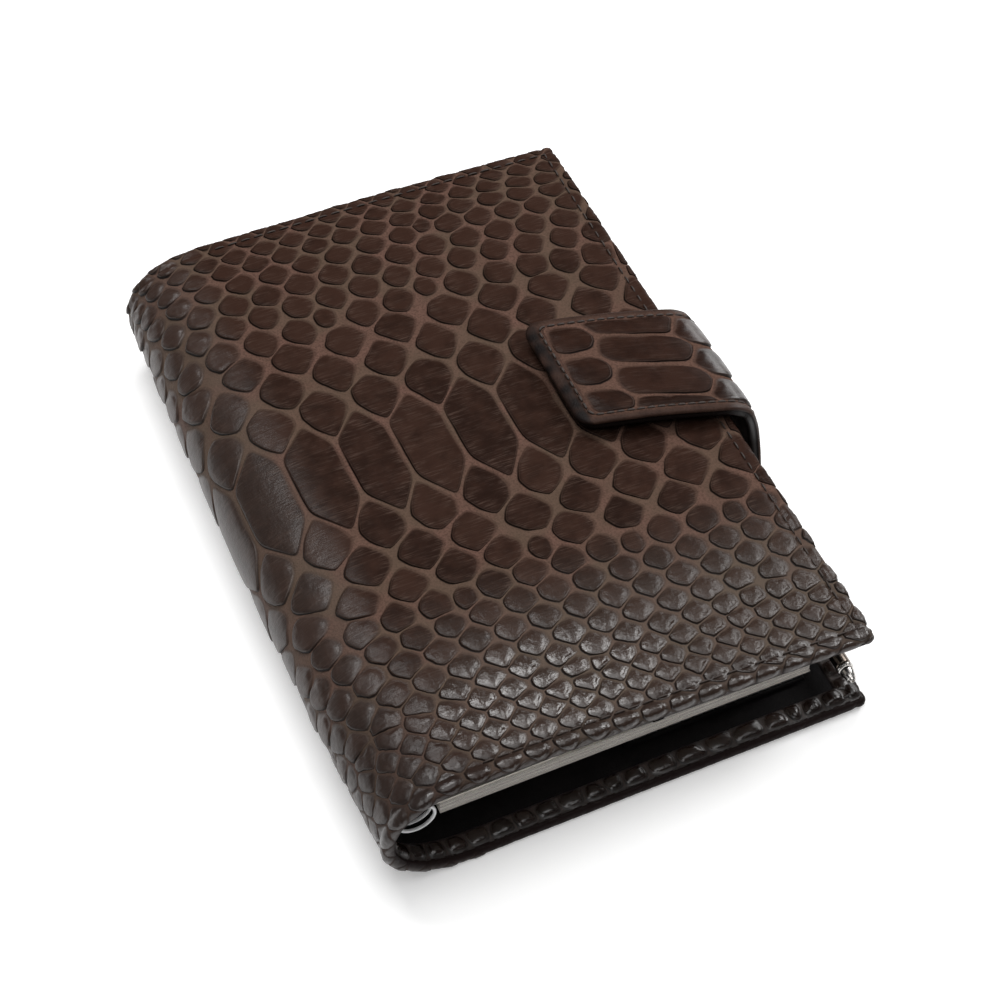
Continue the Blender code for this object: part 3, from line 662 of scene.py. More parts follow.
# painted shade: cut is the darker colour painted on the cut faces of pages and card
PAPER = paper_mat("page_paper_fibre", (0.82, 0.795, 0.745), (0.79, 0.762, 0.710), cut=(0.29, 0.265, 0.248))
CARD = paper_mat("card_fibre", (0.56, 0.525, 0.47), (0.52, 0.485, 0.435), cut=(0.27, 0.247, 0.228))
WIRE = coated("white_coating", (0.70, 0.70, 0.71), (0.62, 0.62, 0.63), 0.38)
CHROME = metal("pen_steel", (0.58, 0.56, 0.54), (0.50, 0.48, 0.46), 0.22, (1.5, 0.2, 1.5), worn=0.02)
# painted reflection: the steel barrel gets a dark brown-tinted base that stands for the dark leather it reflects
PEN_BODY = metal("pen_steel_painted_dark", (0.215, 0.180, 0.152), (0.170, 0.143, 0.122), 0.27, (1.5, 0.2, 1.5), worn=0.02)
BRASS_REFILL = metal("refill_metal", (0.66, 0.50, 0.25), (0.56, 0.42, 0.22), 0.32, (5.0, 0.5, 5.0))
SNAP = metal("snap_metal", (0.36, 0.27, 0.15), (0.24, 0.18, 0.11), 0.32, (2.0, 2.0, 2.0))
THREAD = thread_mat("dark_thread", (0.014, 0.0085, 0.0068), (0.040, 0.024, 0.017))
BLACK_THREAD = thread_mat("black_thread", (0.006, 0.005, 0.005), (0.018, 0.014, 0.013))


def dress(ob, mat, body=None, nodes=()):
    ob.data.materials.clear()
    ob.data.materials.append(mat)
    if nodes:
        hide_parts(*nodes)
    if body:
        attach(ob, body)
    return ob


# ---------------------------------------------------------------- cover skin
EDGE_R = 1.5                     # turn of the leather at the cover edge
EDGE_T = math.pi * EDGE_R        # length of leather over that turn
CORNER = 0.3
INSET = EDGE_R - 0.55
S0, S1 = INSET, S_END - INSET
V0, V1 = -LENGTH / 2 + INSET, LENGTH / 2 - INSET
RECT = (S0, S1, V0, V1)


def skin_map(sv, h):
    return wrap(sv, h, RECT, CORNER, EDGE_T, EDGE_R, cover_frame, 0.8)


def edge_distance(sv):
    """Distance inside the flat outline (negative over the turned edge)."""
    a = np.minimum(sv[:, 0] - S0, S1 - sv[:, 0])
    b = np.minimum(sv[:, 1] - V0, V1 - sv[:, 1])
    inside = np.minimum(a, b)
    return np.where(inside >= 0, inside, -np.hypot(np.minimum(a, 0), np.minimum(b, 0)))


def stitch_distance(sv):
    """Distance from the line of stitching that runs round the covers."""
    return np.minimum(np.minimum(np.abs(sv[:, 0] - S0 - LINE_FORE), np.abs(S1 - LINE_FORE - sv[:, 0])),
                      np.minimum(np.abs(sv[:, 1] - V0 - LINE_NEAR), np.abs(V1 - LINE_FAR - sv[:, 1])))


LINE_NEAR, LINE_FORE, LINE_FAR = 2.3, 1.65, 1.4


def skin_modulate(sv):
    d = edge_distance(sv)
    groove = 1 - 0.55 * np.exp(-(stitch_distance(sv) / 0.75) ** 2)
    under = smooth01((S_BACK_ROLL + 4.0 - sv[:, 0]) / 16.0)      # the back cover is pressed flatter
    calm = np.maximum(under, 0.8 * smooth01((sv[:, 1] - V1 + 6.0) / 3.0))
    over = smooth01((-d / EDGE_T - 0.28 + 0.42 * calm) / 0.42)
    flat = 1 - 0.5 * under
    # painted shade: the third value is the turned part of the edge, which the material colours near black
    return groove * flat * (1 - (0.80 + 0.12 * under) * over), 1 - 0.5 * over, over


ALL = (-400.0, 400.0)
# rows of scales on the flat skin: place along v, runs of (one centre, pitch,
# from, to) along u, half width, half height, outline power
NEAR_ROWS = [
    (-16.1, [(-3.5, 14.75, *ALL)], 5.77, 9.01, 1.60),
    (-26.9, [(2.9, 14.8, *ALL)], 5.78, 7.24, 1.48),
    (-35.7, [(11.0, 14.5, 5.0, 400.0), (-7.5, 13.4, -400.0, 0.0)], 5.24, 5.83, 1.52),
    (-44.0, [(-14.3, 9.9, -18.0, 20.0), (32.5, 11.0, 28.0, 48.0), (-30.2, 9.9, -400.0, -26.0), (59.6, 9.6, 56.0, 400.0)], 4.47, 4.69, 1.65),
    (-51.0, [(-1.1, 9.3, *ALL)], 4.14, 4.09, 1.65),
    (-57.6, [(2.5, 9.3, *ALL)], 4.16, 4.03, 1.70),
    (-63.9, [(5.8, 9.25, *ALL)], 4.11, 3.81, 1.70),
    (-69.6, [(0.6, 9.2, -400.0, 31.0), (35.7, 7.4, 33.0, 400.0)], 4.05, 3.58, 1.70),
    (-74.3, [(-6.7, 8.1, -400.0, -3.0), (5.8, 8.1, 3.0, 34.0), (37.5, 7.35, 35.0, 400.0)], 3.99, 3.31, 1.80),
    (-79.0, [(1.8, 7.53, *ALL)], 3.93, 3.13, 1.80),
    (-83.2, [(-1.7, 7.52, *ALL)], 3.93, 3.08, 1.80),
    (-87.6, [(1.25, 7.55, *ALL)], 3.85, 2.86, 2.20),
    (-92.6, [(-2.3, 7.6, *ALL)], 4.07, 2.75, 2.20),
    (-97.0, [(1.4, 7.6, *ALL)], 4.07, 2.86, 2.20),
    (-101.0, [(-2.3, 7.6, *ALL)], 3.96, 2.64, 2.20),
]
FAR_ROWS = [
    (25.0, [(-2.1, 14.85, *ALL)], 5.97, 9.12, 1.60),
    (36.5, [(5.0, 14.85, *ALL)], 5.67, 7.56, 1.48),
    (46.2, [(-2.5, 14.8, *ALL)], 5.46, 6.26, 1.52),
    (54.2, [(-9.3, 11.0, -14.0, 5.0), (20.0, 11.2, 16.0, 35.0), (40.4, 9.5, 38.0, 400.0), (-27.5, 11.0, -400.0, -24.0)], 4.47, 5.12, 1.65),
    (62.6, [(4.75, 9.7, *ALL)], 4.14, 4.58, 1.65),
    (69.8, [(-1.25, 9.7, *ALL)], 4.22, 4.26, 1.70),
    (76.6, [(2.7, 9.5, -400.0, 12.5), (25.8, 8.7, 22.0, 400.0)], 4.00, 3.58, 1.70),
    (82.3, [(5.8, 8.75, *ALL)], 3.99, 2.96, 1.80),
    (87.0, [(0.2, 8.4, *ALL)], 3.88, 2.51, 1.80),
    (91.2, [(4.4, 8.1, *ALL)], 3.88, 2.39, 1.80),
    (95.2, [(0.3, 8.0, *ALL)], 3.85, 2.42, 2.20),
    (99.2, [(4.3, 8.0, *ALL)], 3.85, 2.42, 2.20),
    (103.0, [(0.3, 8.0, *ALL)], 3.85, 2.42, 2.20),
]
# small scales where a row gains one
EXTRA = [(1.0, -37.9, 2.9, 3.8), (-22.5, -45.0, 3.0, 3.5), (23.3, -45.4, 3.0, 3.5), (51.7, -46.2, 3.0, 3.8),
         (-0.4, -75.8, 2.6, 2.6), (-19.2, 56.0, 2.9, 3.5), (10.2, 56.4, 3.0, 3.6), (18.3, 78.3, 2.8, 2.6)]
SCUTE_V, SCUTE_PITCH, SCUTE_U, SCUTE_REACH = 4.4, 14.85, 3.7, 15.2


def droop(u, v):
    """The rows fall away towards the fore edge."""
    if v < 0:
        slope = -0.048 * (min(max(u, -15.0), 66.0) + 15.0) * min(max((-v - 30.0) / 45.0, 0.0), 1.0)
        return slope - 0.0012 * max(min(u, 66.0) - 15.0, 0.0) ** 2 * min(max((60.0 + v) / 30.0, 0.0), 1.0)
    return -0.0021 * max(min(u, 66.0) - 15.0, 0.0) ** 2


def skin_seeds():
    """Centres, weights, group and outline of every scale of the cover skin."""
    rng = random.Random(11)
    seeds, weights, groups, ovals = [], [], [], []
    u_lo, u_hi = -S_ZERO - 9.0, S_END - S_ZERO + 9.0
    k = math.floor((u_lo - SCUTE_U) / SCUTE_PITCH)
    while SCUTE_U + k * SCUTE_PITCH < u_hi:
        u = SCUTE_U + k * SCUTE_PITCH + rng.uniform(-0.35, 0.35)
        for reach in (0.0, -SCUTE_REACH, SCUTE_REACH):
            seeds.append((u + S_ZERO, SCUTE_V + reach))
            weights.append(-36.0)
            groups.append(k)
            ovals.append(None)
        k += 1
    for v, runs, a, b, pw in NEAR_ROWS + FAR_ROWS:
        for anchor, pitch, lo, hi in runs:
            k0, k1 = math.ceil((max(u_lo, lo) - anchor) / pitch), math.floor((min(u_hi, hi) - anchor) / pitch)
            for k in range(k0, k1 + 1):
                u = anchor + k * pitch + rng.uniform(-0.035, 0.035) * pitch
                vv = v + droop(u, v) + rng.uniform(-0.03, 0.03) * pitch
                size = 1 + rng.uniform(-0.05, 0.05)
                seeds.append((u + S_ZERO, vv))
                weights.append(0.0)
                groups.append(None)
                sharp = 0.86 if pw < 1.9 else 1.0
                ovals.append((a * size * (1.15 - 0.1 * sharp) * 1.0, b * size * (1.15 - 0.1 * sharp), pw * sharp * (1 + rng.uniform(-0.06, 0.08)), rng.uniform(-0.10, 0.16), 0.0))
    for u, v, a, b in EXTRA:
        seeds.append((u + S_ZERO, v))
        weights.append(-6.0)
        groups.append(None)
        ovals.append((a, b, 2.0, 0.05, 0.0))
    return seeds, weights, groups, ovals


def hull(points):
    """Convex outline of the parts of one broad scale."""
    pts = sorted(set((round(x, 6), round(y, 6)) for x, y in points))

    def chain(seq):
        out = []
        for p in seq:
            while len(out) > 1 and ((out[-1][0] - out[-2][0]) * (p[1] - out[-2][1])
                                    - (out[-1][1] - out[-2][1]) * (p[0] - out[-2][0])) <= 1e-7:
                out.pop()
            out.append(p)
        return out
    lower, upper = chain(pts), chain(pts[::-1])
    return lower[:-1] + upper[:-1]


BORDER_PAD = EDGE_T
cut = BORDER_PAD * 0.62
bx0, bx1, by0, by1 = S0 - BORDER_PAD, S1 + BORDER_PAD, V0 - BORDER_PAD, V1 + BORDER_PAD
SKIN_BORDER = [(bx0 + cut, by0), (bx1 - cut, by0), (bx1, by0 + cut), (bx1, by1 - cut),
               (bx1 - cut, by1), (bx0 + cut, by1), (bx0, by1 - cut), (bx0, by0 + cut)]


TOWARD = (0.898, 0.439)          # the scales grow this way and lie free behind


def crumple_skin(sv, mask):
    """Scales dry into shallow dents, more so towards the near end."""
    near = smooth01((-38.0 - sv[:, 1]) / 32.0)
    under = smooth01((S_BACK_ROLL + 4.0 - sv[:, 0]) / 16.0)
    seam = -0.30 * np.exp(-(stitch_distance(sv) / 0.55) ** 2)
    d = edge_distance(sv)
    cord = 1.0 + 0.9 * noise_at(np.c_[sv[:, 0], 0.15 * sv[:, 1]], 0.17, 13.0)
    seam = seam + 0.28 * cord * np.exp(-((d + 0.3) / 1.5) ** 2) * (1 - 0.8 * under)
    dents = (0.05 + 0.05 * near) * noise_at(sv, 0.42, 3.0) + (0.03 + 0.085 * near) * noise_at(sv, 0.95, 9.0)
    return seam + (1 - 0.6 * under) * (mask * dents + (1 - mask) * 0.05 * noise_at(sv, 0.7, 5.0))


def build_cover_skin():
    seeds, weights, groups, ovals = skin_seeds()
    cells = cells_of(seeds, weights, SKIN_BORDER)
    rng = np.random.default_rng(5)
    halves = {"back": SkinMesh(), "front": SkinMesh()}
    joined = {}
    for poly, g in zip(cells, groups):
        if g is not None and poly is not None:
            joined.setdefault(g, []).extend(poly)
    done = set()
    for (s, v), poly, g, oval in zip(seeds, cells, groups, ovals):
        if g is not None:
            if g in done or g not in joined:
                continue
            done.add(g)
            poly = hull(joined[g])
        draws = rng.uniform(0, 1, 4)
        if poly is None:
            continue
        near = float(smooth01((-40.0 - v) / 30.0))
        h_hi = 0.25 + 0.12 * near + 0.12 * draws[0]
        by_spine = float(smooth01((46.0 - abs(s - S_MID)) / 18.0))
        lift = float(smooth01((v + 84.0) / 18.0) * smooth01((s - S_MID + 10.0) / 8.0))
        if abs(s - S_MID) < 24:
            h_hi += (0.25 + 0.55 * draws[2]) * lift
        elif abs(s - S_MID) < 36 and draws[1] > 0.5:
            h_hi += 0.40 * draws[2] * lift
        h_lo = 0.05 + 0.04 * draws[3]
        flat = by_spine * float(smooth01((-46.0 - v) / 24.0))       # worn flat and square at the spine's near end
        h_hi *= 1.0 - 0.4 * flat
        if oval is not None and flat > 0.02:
            oval = (oval[0] * (1 + 0.07 * flat), oval[1] * (1 + 0.09 * flat), oval[2] * (1 + 0.7 * flat), oval[3], oval[4])
        half = halves["back" if s < S_MID else "front"]
        if g is not None:
            half.cell(poly, 0.72, 16.0, h_lo, h_hi, 0.04, TOWARD, draws[2], rng, 1.15, wobble=0.3)
        else:
            half.cell(poly, 0.22, 9.0, h_lo, h_hi, 0.05 + 0.30 * near * (1.0 - 0.8 * by_spine), TOWARD, draws[2], rng, 1.15, centre=(s, v), oval=oval,
                      ragged=0.032 * float(smooth01((-42.0 - v) / 20.0)))
    out = {}
    for side, mesh in halves.items():
        out[side] = mesh.finish(side + "_skin", skin_map, skin_modulate, crumple_skin)
    return out


def bend(ob, side):
    if side == "back":
        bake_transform(ob)
    else:
        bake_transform(ob)
    return ob


skins = build_cover_skin()
dress(skins["back"], SKIN, nodes=("back_cover_leather",))
dress(skins["front"], SKIN, nodes=("front_cover_leather", "spine_leather"))
bend(skins["back"], "back")
bend(skins["front"], "front")


# ---------------------------------------------------------------- turned hems
def hem_seeds(a0, a1, rng):
    seeds = []
    a = a0 - 5.0
    while a < a1 + 8.0:
        seeds.append((a, 2.3 + rng.uniform(-0.7, 0.9)))
        a += rng.choice((4.6, 6.2, 7.4, 9.2)) * rng.uniform(0.88, 1.12)
    return seeds


def hem_piece(name, a0, a1, mapper, seed, relief=1.0):
    rng = random.Random(seed)
    nrng = np.random.default_rng(seed)
    seeds = hem_seeds(a0, a1, rng)
    border = [(a0, -0.3), (a1, -0.3), (a1, HEM + 0.5), (a0, HEM + 0.5)]
    mesh = SkinMesh()
    for p, poly in zip(seeds, cells_of(seeds, [0.0] * len(seeds), border, near=20)):
        if poly is None:
            continue
        d = nrng.uniform(0, 1, 3)
        mesh.cell(poly, 0.30, 2.5, 0.08, 0.22 + 0.25 * d[0], 0.40 + 0.50 * d[2], (0.5 - d[0], 0.86), d[1], nrng, 0.8, ragged=0.02)

    def modulate(sv):
        near_edge = smooth01(sv[:, 1] / 0.9)
        inner = smooth01((sv[:, 1] - HEM + 0.9) / 0.9)
        # painted shade: the hem's turned outer edge and its inner border take the near-black edge colour
        return relief * (0.25 + 0.75 * near_edge), 0.75 + 0.25 * near_edge, np.maximum(0.85 * (1 - near_edge), 0.8 * inner)

    return mesh.finish(name, mapper, modulate, lambda sv, m: relief * (0.35 + 0.65 * m) * (0.14 * noise_at(sv, 0.55, 2.0) + 0.09 * noise_at(sv, 1.3, 6.0)))


def hem_surface(s, v, e, h, lift):
    P, T, N, D = cover_frame(s, v)
    drop = 1.0 * smooth01((e - HEM + 0.2) / 0.6)
    up = lift * smooth01(e / 1.5)
    return P - N * (D + up - drop + h)[:, None]


def end_map(sign, lift):
    return lambda ae, h: hem_surface(ae[:, 0], sign * (V1 - ae[:, 1]), ae[:, 1], h, lift)


def fore_map(side, lift):
    def f(ae, h):
        s = S0 + ae[:, 1] if side == "back" else S1 - ae[:, 1]
        return hem_surface(s, ae[:, 0], ae[:, 1], h, lift)
    return f


def facing(ob, want):
    """Turn the faces so that most of them look along the wanted direction."""
    n = np.zeros(len(ob.data.polygons) * 3)
    ob.data.polygons.foreach_get("normal", n)
    if (n.reshape(-1, 3) @ np.array(want)).sum() < 0:
        ob.data.flip_normals()
    return ob


for side, a0, a1 in (("back", S0 - 0.6, S_MID), ("front", S_MID, S1 + 0.6)):
    up = (0, 0, 1) if side == "back" else (0, 0, -1)
    for tag, sign in (("near", -1), ("far", 1)):
        ob = hem_piece(side + "_hem_" + tag, a0, a1, end_map(sign, 0.28 if side == "back" else 0.0), 20 + sign + (5 if side == "back" else 0),
                       relief=1.0 if side == "back" else 0.22)      # pressed flat by the insert in front
        dress(facing(ob, up), HEM_SKIN)
        bend(ob, side)
    ob = hem_piece(side + "_hem_fore", V0 + 0.4, V1 - 0.4, fore_map(side, 0.02), 31 if side == "back" else 32)
    dress(facing(ob, up), HEM_SKIN, body=side + "_cover")


# ---------------------------------------------------------------- lining
def lining_piece(side):
    if side == "back":
        ss = np.r_[np.arange(S0 + 3.9, S_BACK_ROLL - 2, 4.0), np.linspace(S_BACK_ROLL - 2, S_MID, 44)]
    else:
        mir = 2 * S_MID - S_BACK_ROLL + 2
        ss = np.r_[np.linspace(S_MID, mir, 44), np.arange(mir + 4.0, S1 - 3.9, 4.0), S1 - 3.9]
    vs = np.linspace(-LENGTH / 2 + HEM - 0.8, LENGTH / 2 - HEM + 0.8, 60)
    g = np.array([(s, v) for s in ss for v in vs])
    P, T, N, D = cover_frame(g[:, 0], g[:, 1], sink=False)
    crown = (D - 3.3)[:, None]
    at_wire = float(np.interp(-WIRE_C[0], -SEC_X[_front][::-1], SEC_S[_front][::-1])) if side == "front" else -99.0
    pressed = 0.55 * np.exp(-((g[:, 0] - at_wire) / 10.0) ** 2)[:, None]      # the loops press into it
    pos = P - N * (3.08 - pressed + crown + 0.06 * noise_at(g, 0.06, 4.0)[:, None] + 0.02 * noise_at(g, 0.3, 8.0)[:, None])
    m = len(vs)
    faces = [(i * m + j, i * m + j + 1, (i + 1) * m + j + 1, (i + 1) * m + j)
             for i in range(len(ss) - 1) for j in range(m - 1)]
    ob = make_mesh(side + "_lining_sheet", row(pos), faces, None, np.c_[g, np.zeros(len(g))])
    facing(ob, (0, 0, 1) if side == "back" else (0, 0, -1))
    return ob


for side in ("back", "front"):
    ob = lining_piece(side)
    nodes = ("back_cover_lining",) if side == "back" else ("front_cover_lining", "spine_lining")
    dress(ob, LINING, nodes=nodes)
    bend(ob, side)


# ---------------------------------------------------------------- sweeps and lathes
def tube_mesh(path, radius, sides, closed_caps=True, radii=None):
    pts = [Vector(p) for p in path]
    n = len(pts)
    tang = []
    for i in range(n):
        a, b = pts[max(i - 1, 0)], pts[min(i + 1, n - 1)]
        tang.append((b - a).normalized())
    ref = Vector((0, 0, 1)) if abs(tang[0].z) < 0.9 else Vector((0, 1, 0))
    nrm = (ref - tang[0] * ref.dot(tang[0])).normalized()
    verts, faces = [], []
    for i in range(n):
        if i:
            nrm = tang[i - 1].rotation_difference(tang[i]) @ nrm
            nrm = (nrm - tang[i] * nrm.dot(tang[i])).normalized()
        b = tang[i].cross(nrm)
        r = radii[i] if radii else radius
        for k in range(sides):
            a = 2 * math.pi * k / sides
            verts.append(tuple(pts[i] + (nrm * math.cos(a) + b * math.sin(a)) * r))
    for i in range(n - 1):
        for k in range(sides):
            a, c = i * sides + k, i * sides + (k + 1) % sides
            faces.append((a, c, c + sides, a + sides))
    if closed_caps:
        faces.append(tuple(range(sides))[::-1])
        faces.append(tuple(range((n - 1) * sides, n * sides)))
    return verts, faces


def lathe(profile, sides=40):
    """Turn an open (radius, along) profile about the local Z axis."""
    verts, faces, rings = [], [], []
    for r, y in profile:
        if r < 1e-6:
            rings.append([len(verts)] * sides)
            verts.append((0.0, 0.0, y))
        else:
            rings.append(list(range(len(verts), len(verts) + sides)))
            verts += [(r * math.cos(2 * math.pi * k / sides), r * math.sin(2 * math.pi * k / sides), y) for k in range(sides)]
    for a, b in zip(rings[:-1], rings[1:]):
        for k in range(sides):
            q = [a[k], a[(k + 1) % sides], b[(k + 1) % sides], b[k]]
            q = [v for j, v in enumerate(q) if v not in q[:j]]
            if len(q) > 2:
                faces.append(tuple(q))
    return verts, faces


def rounded(profile, r=0.12, steps=3):
    """Break the corners of a turned profile."""
    out = [profile[0]]
    for i in range(1, len(profile) - 1):
        p, c, q = (np.array(profile[i - 1]), np.array(profile[i]), np.array(profile[i + 1]))
        a, b = p - c, q - c
        la, lb = np.linalg.norm(a), np.linalg.norm(b)
        k = min(r, 0.45 * la, 0.45 * lb)
        if k < 1e-4:
            out.append(tuple(c))
            continue
        s, e = c + a / la * k, c + b / lb * k
        for m in range(steps + 1):
            t = m / steps
            out.append(tuple((1 - t) ** 2 * s + 2 * t * (1 - t) * c + t * t * e))
    out.append(profile[-1])
    return out


def stitches(name, stations, mat, length=2.7, pitch=3.6, radius=0.3, rise=0.16, sink=0.3):
    """Threads laid along a line of (point, normal) stations given every short step."""
    pts = np.array([s[0] for s in stations])
    nrm = np.array([s[1] for s in stations])
    d = np.r_[0, np.cumsum(np.linalg.norm(np.diff(pts, axis=0), axis=1))]
    verts, faces = [], []
    pos = pitch * 0.5
    while pos + length / 2 < d[-1]:
        ts = np.linspace(pos - length / 2, pos + length / 2, 7)
        p = np.stack([np.interp(ts, d, pts[:, k]) for k in range(3)], -1)
        n = np.stack([np.interp(ts, d, nrm[:, k]) for k in range(3)], -1)
        n /= np.linalg.norm(n, axis=1)[:, None]
        k = np.linspace(-1, 1, 7)
        lift = rise - (rise + sink) * k ** 4
        v, f = tube_mesh([tuple(a) for a in p + n * lift[:, None]], radius, 7,
                         radii=[radius * (1 - 0.45 * abs(x) ** 3) for x in k])
        base = len(verts)
        verts += v
        faces += [tuple(i + base for i in q) for q in f]
        pos += pitch
    ob = make_mesh(name, row(np.array(verts)), faces)
    dress(ob, mat)
    return ob


def skin_line(points, h):
    """Stations on the cover skin along a line of the flat pattern."""
    sv = []
    for (a, b), (c, d) in zip(points[:-1], points[1:]):
        n = max(2, int(math.hypot(c - a, d - b) / 0.8))
        sv += [(a + (c - a) * i / n, b + (d - b) * i / n) for i in range(n)]
    sv.append(points[-1])
    sv = np.array(sv, float)
    p = skin_map(sv, np.full(len(sv), h))
    q = skin_map(sv, np.full(len(sv), h + 0.5))
    return list(zip(p, (q - p) / 0.5))


for side in ("back", "front"):
    s_roll = S_BACK_ROLL - 2 if side == "back" else 2 * S_MID - S_BACK_ROLL + 2
    s_fore = S0 + LINE_FORE if side == "back" else S1 - LINE_FORE
    ends = [(s_roll, V0 + LINE_NEAR), (s_fore, V0 + LINE_NEAR), (s_fore, V1 - LINE_FAR), (s_roll, V1 - LINE_FAR)]
    ob = stitches(side + "_cover_stitching", skin_line(ends, 0.06), THREAD, length=2.9, pitch=3.8, radius=0.26)
    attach(ob, side + "_cover")


# ---------------------------------------------------------------- strap
STRAP_PATH = [(65.6, 1.3), (67.2, 1.1), (68.9, 1.5), (70.4, 2.9), (71.4, 6.0), (72.15, 16.0), (72.1, 26.5),
              (71.5, 31.8), (70.2, 34.9), (68.1, 36.5), (65.6, 37.35), (62.0, 37.9), (56.0, 38.55), (48.0, 39.25),
              (40.0, 39.5), (33.0, 39.5), (29.6, 39.3), (27.2, 38.75), (25.4, 37.9)]


def catmull(pts, step=0.5):
    p = [np.array(q, float) for q in pts]
    p = [2 * p[0] - p[1]] + p + [2 * p[-1] - p[-2]]
    out = []
    for i in range(1, len(p) - 2):
        n = max(2, int(np.linalg.norm(p[i + 1] - p[i]) / step))
        for k in range(n):
            t = k / n
            out.append(0.5 * (2 * p[i] + (p[i + 1] - p[i - 1]) * t + (2 * p[i - 1] - 5 * p[i] + 4 * p[i + 1] - p[i + 2]) * t * t
                              + (3 * p[i] - p[i - 1] - 3 * p[i + 1] + p[i + 2]) * t ** 3))
    out.append(p[-2])
    return np.array(out)


_sp = catmull(STRAP_PATH)
_sd = np.r_[0, np.cumsum(np.hypot(*np.diff(_sp, axis=0).T))]
ST_P = np.arange(0, _sd[-1], 0.4)
ST_X, ST_Z = np.interp(ST_P, _sd, _sp[:, 0]), np.interp(ST_P, _sd, _sp[:, 1])
_k = np.ones(5) / 5
ST_TX = np.convolve(np.pad(np.gradient(ST_X), 2, "edge"), _k, "valid")
ST_TZ = np.convolve(np.pad(np.gradient(ST_Z), 2, "edge"), _k, "valid")
_n = np.hypot(ST_TX, ST_TZ)
ST_TX, ST_TZ = ST_TX / _n, ST_TZ / _n
ST_L = float(ST_P[-1])
ST_MID = (STRAP_Y0 + STRAP_Y1) / 2
ST_HALF = (STRAP_Y1 - STRAP_Y0) / 2
ST_R = 1.35
ST_BAND, ST_END_BAND = 3.0, 4.6          # plain leather along the sides and at the free end
ST_SPLIT = float(np.interp(17.0, ST_Z[:100], ST_P[:100]))


def strap_p(x):
    """Length along the strap of a place on the tab."""
    top = ST_P > 38.0
    return float(np.interp(-x, -ST_X[top], ST_P[top]))


ST_REF = strap_p(66.0)


def strap_frame(p, w):
    p, w = np.asarray(p, float), np.asarray(w, float)
    x, z = np.interp(p, ST_P, ST_X), np.interp(p, ST_P, ST_Z)
    tx, tz = np.interp(p, ST_P, ST_TX), np.interp(p, ST_P, ST_TZ)
    zero = np.zeros_like(x)
    nx, nz = tz, -tx
    crown = 0.35 * np.cos(np.pi * np.clip(w / ST_HALF, -1, 1) / 2)
    off = 0.35 - crown
    P = np.stack([x - nx * off, ST_MID + w + STRAP_SKEW * (p - ST_REF), z - nz * off], -1)
    T = np.stack([tx, zero, tz], -1)
    N = np.stack([nx, zero, nz], -1)
    thin = 0.7 * smooth01((p - ST_L + 7.0) / 6.0)
    return P, T, N, 3.0 - off + 0.35 - thin


ST_RECT = (-20.0, ST_L - ST_R, -ST_HALF + ST_R, ST_HALF - ST_R)
ST_CORNER = 3.6
ST_T = math.pi * ST_R


def strap_map(pw, h):
    return wrap(pw, h, ST_RECT, ST_CORNER, ST_T, ST_R, strap_frame, 0.62)


def strap_outline(inset, end_inset):
    """Open outline of the strap at an inset: near edge, free end, far edge."""
    r = max(ST_CORNER + ST_R - inset, 0.6)
    p1, w1 = ST_L - end_inset, ST_HALF - inset
    pts, nrm = [], []
    n, m = 110, 44
    for i in range(n):
        pts.append(((p1 - r) * i / n, -w1))
        nrm.append((0.0, -1.0))
    for i in range(13):
        a = -math.pi / 2 + math.pi / 2 * i / 12
        pts.append((p1 - r + r * math.cos(a), -w1 + r + r * math.sin(a)))
        nrm.append((math.cos(a), math.sin(a)))
    for i in range(1, m):
        pts.append((p1, -w1 + r + (2 * w1 - 2 * r) * i / m))
        nrm.append((1.0, 0.0))
    for i in range(13):
        a = math.pi / 2 * i / 12
        pts.append((p1 - r + r * math.cos(a), w1 - r + r * math.sin(a)))
        nrm.append((math.cos(a), math.sin(a)))
    for i in range(1, n + 1):
        pts.append(((p1 - r) * (1 - i / n), w1))
        nrm.append((0.0, 1.0))
    return np.array(pts), np.array(nrm)


# scales of the strap: place along x on the tab or below the bend, places
# across, half length, half width, outline power, tilt, reach of a broad scale
STRAP_ROWS = [
    (34.6, (22.4, 10.7, -1.1, -13.6, -25.5), 7.0, 4.95, 2.0, 0.0, 0.0),
    (52.2, (27.0, 15.7, 4.6, -7.4, -19.4), 14.2, 4.9, 2.1, 0.12, 7.6),
    (67.6, (22.0, 10.5, -1.3, -13.2, -25.0), 8.2, 5.4, 1.8, 0.10, 0.0),
    (79.0, (27.0, 16.0, 4.5, -7.4, -19.2), 5.6, 5.0, 2.0, 0.0, 0.0),
    (88.8, (22.0, 10.4, -1.4, -13.1, -25.0), 5.3, 4.9, 2.0, 0.0, 0.0),
    (98.4, (27.0, 15.8, 4.4, -7.3, -19.0), 5.2, 4.8, 2.0, 0.0, 0.0),
    (107.8, (22.0, 10.3, -1.4, -13.0, -25.0), 5.0, 4.8, 2.0, 0.0, 0.0),
    (25.0, (28.0, 16.5, 4.8, -7.2, -19.0), 5.0, 4.6, 2.0, 0.0, 0.0),
]


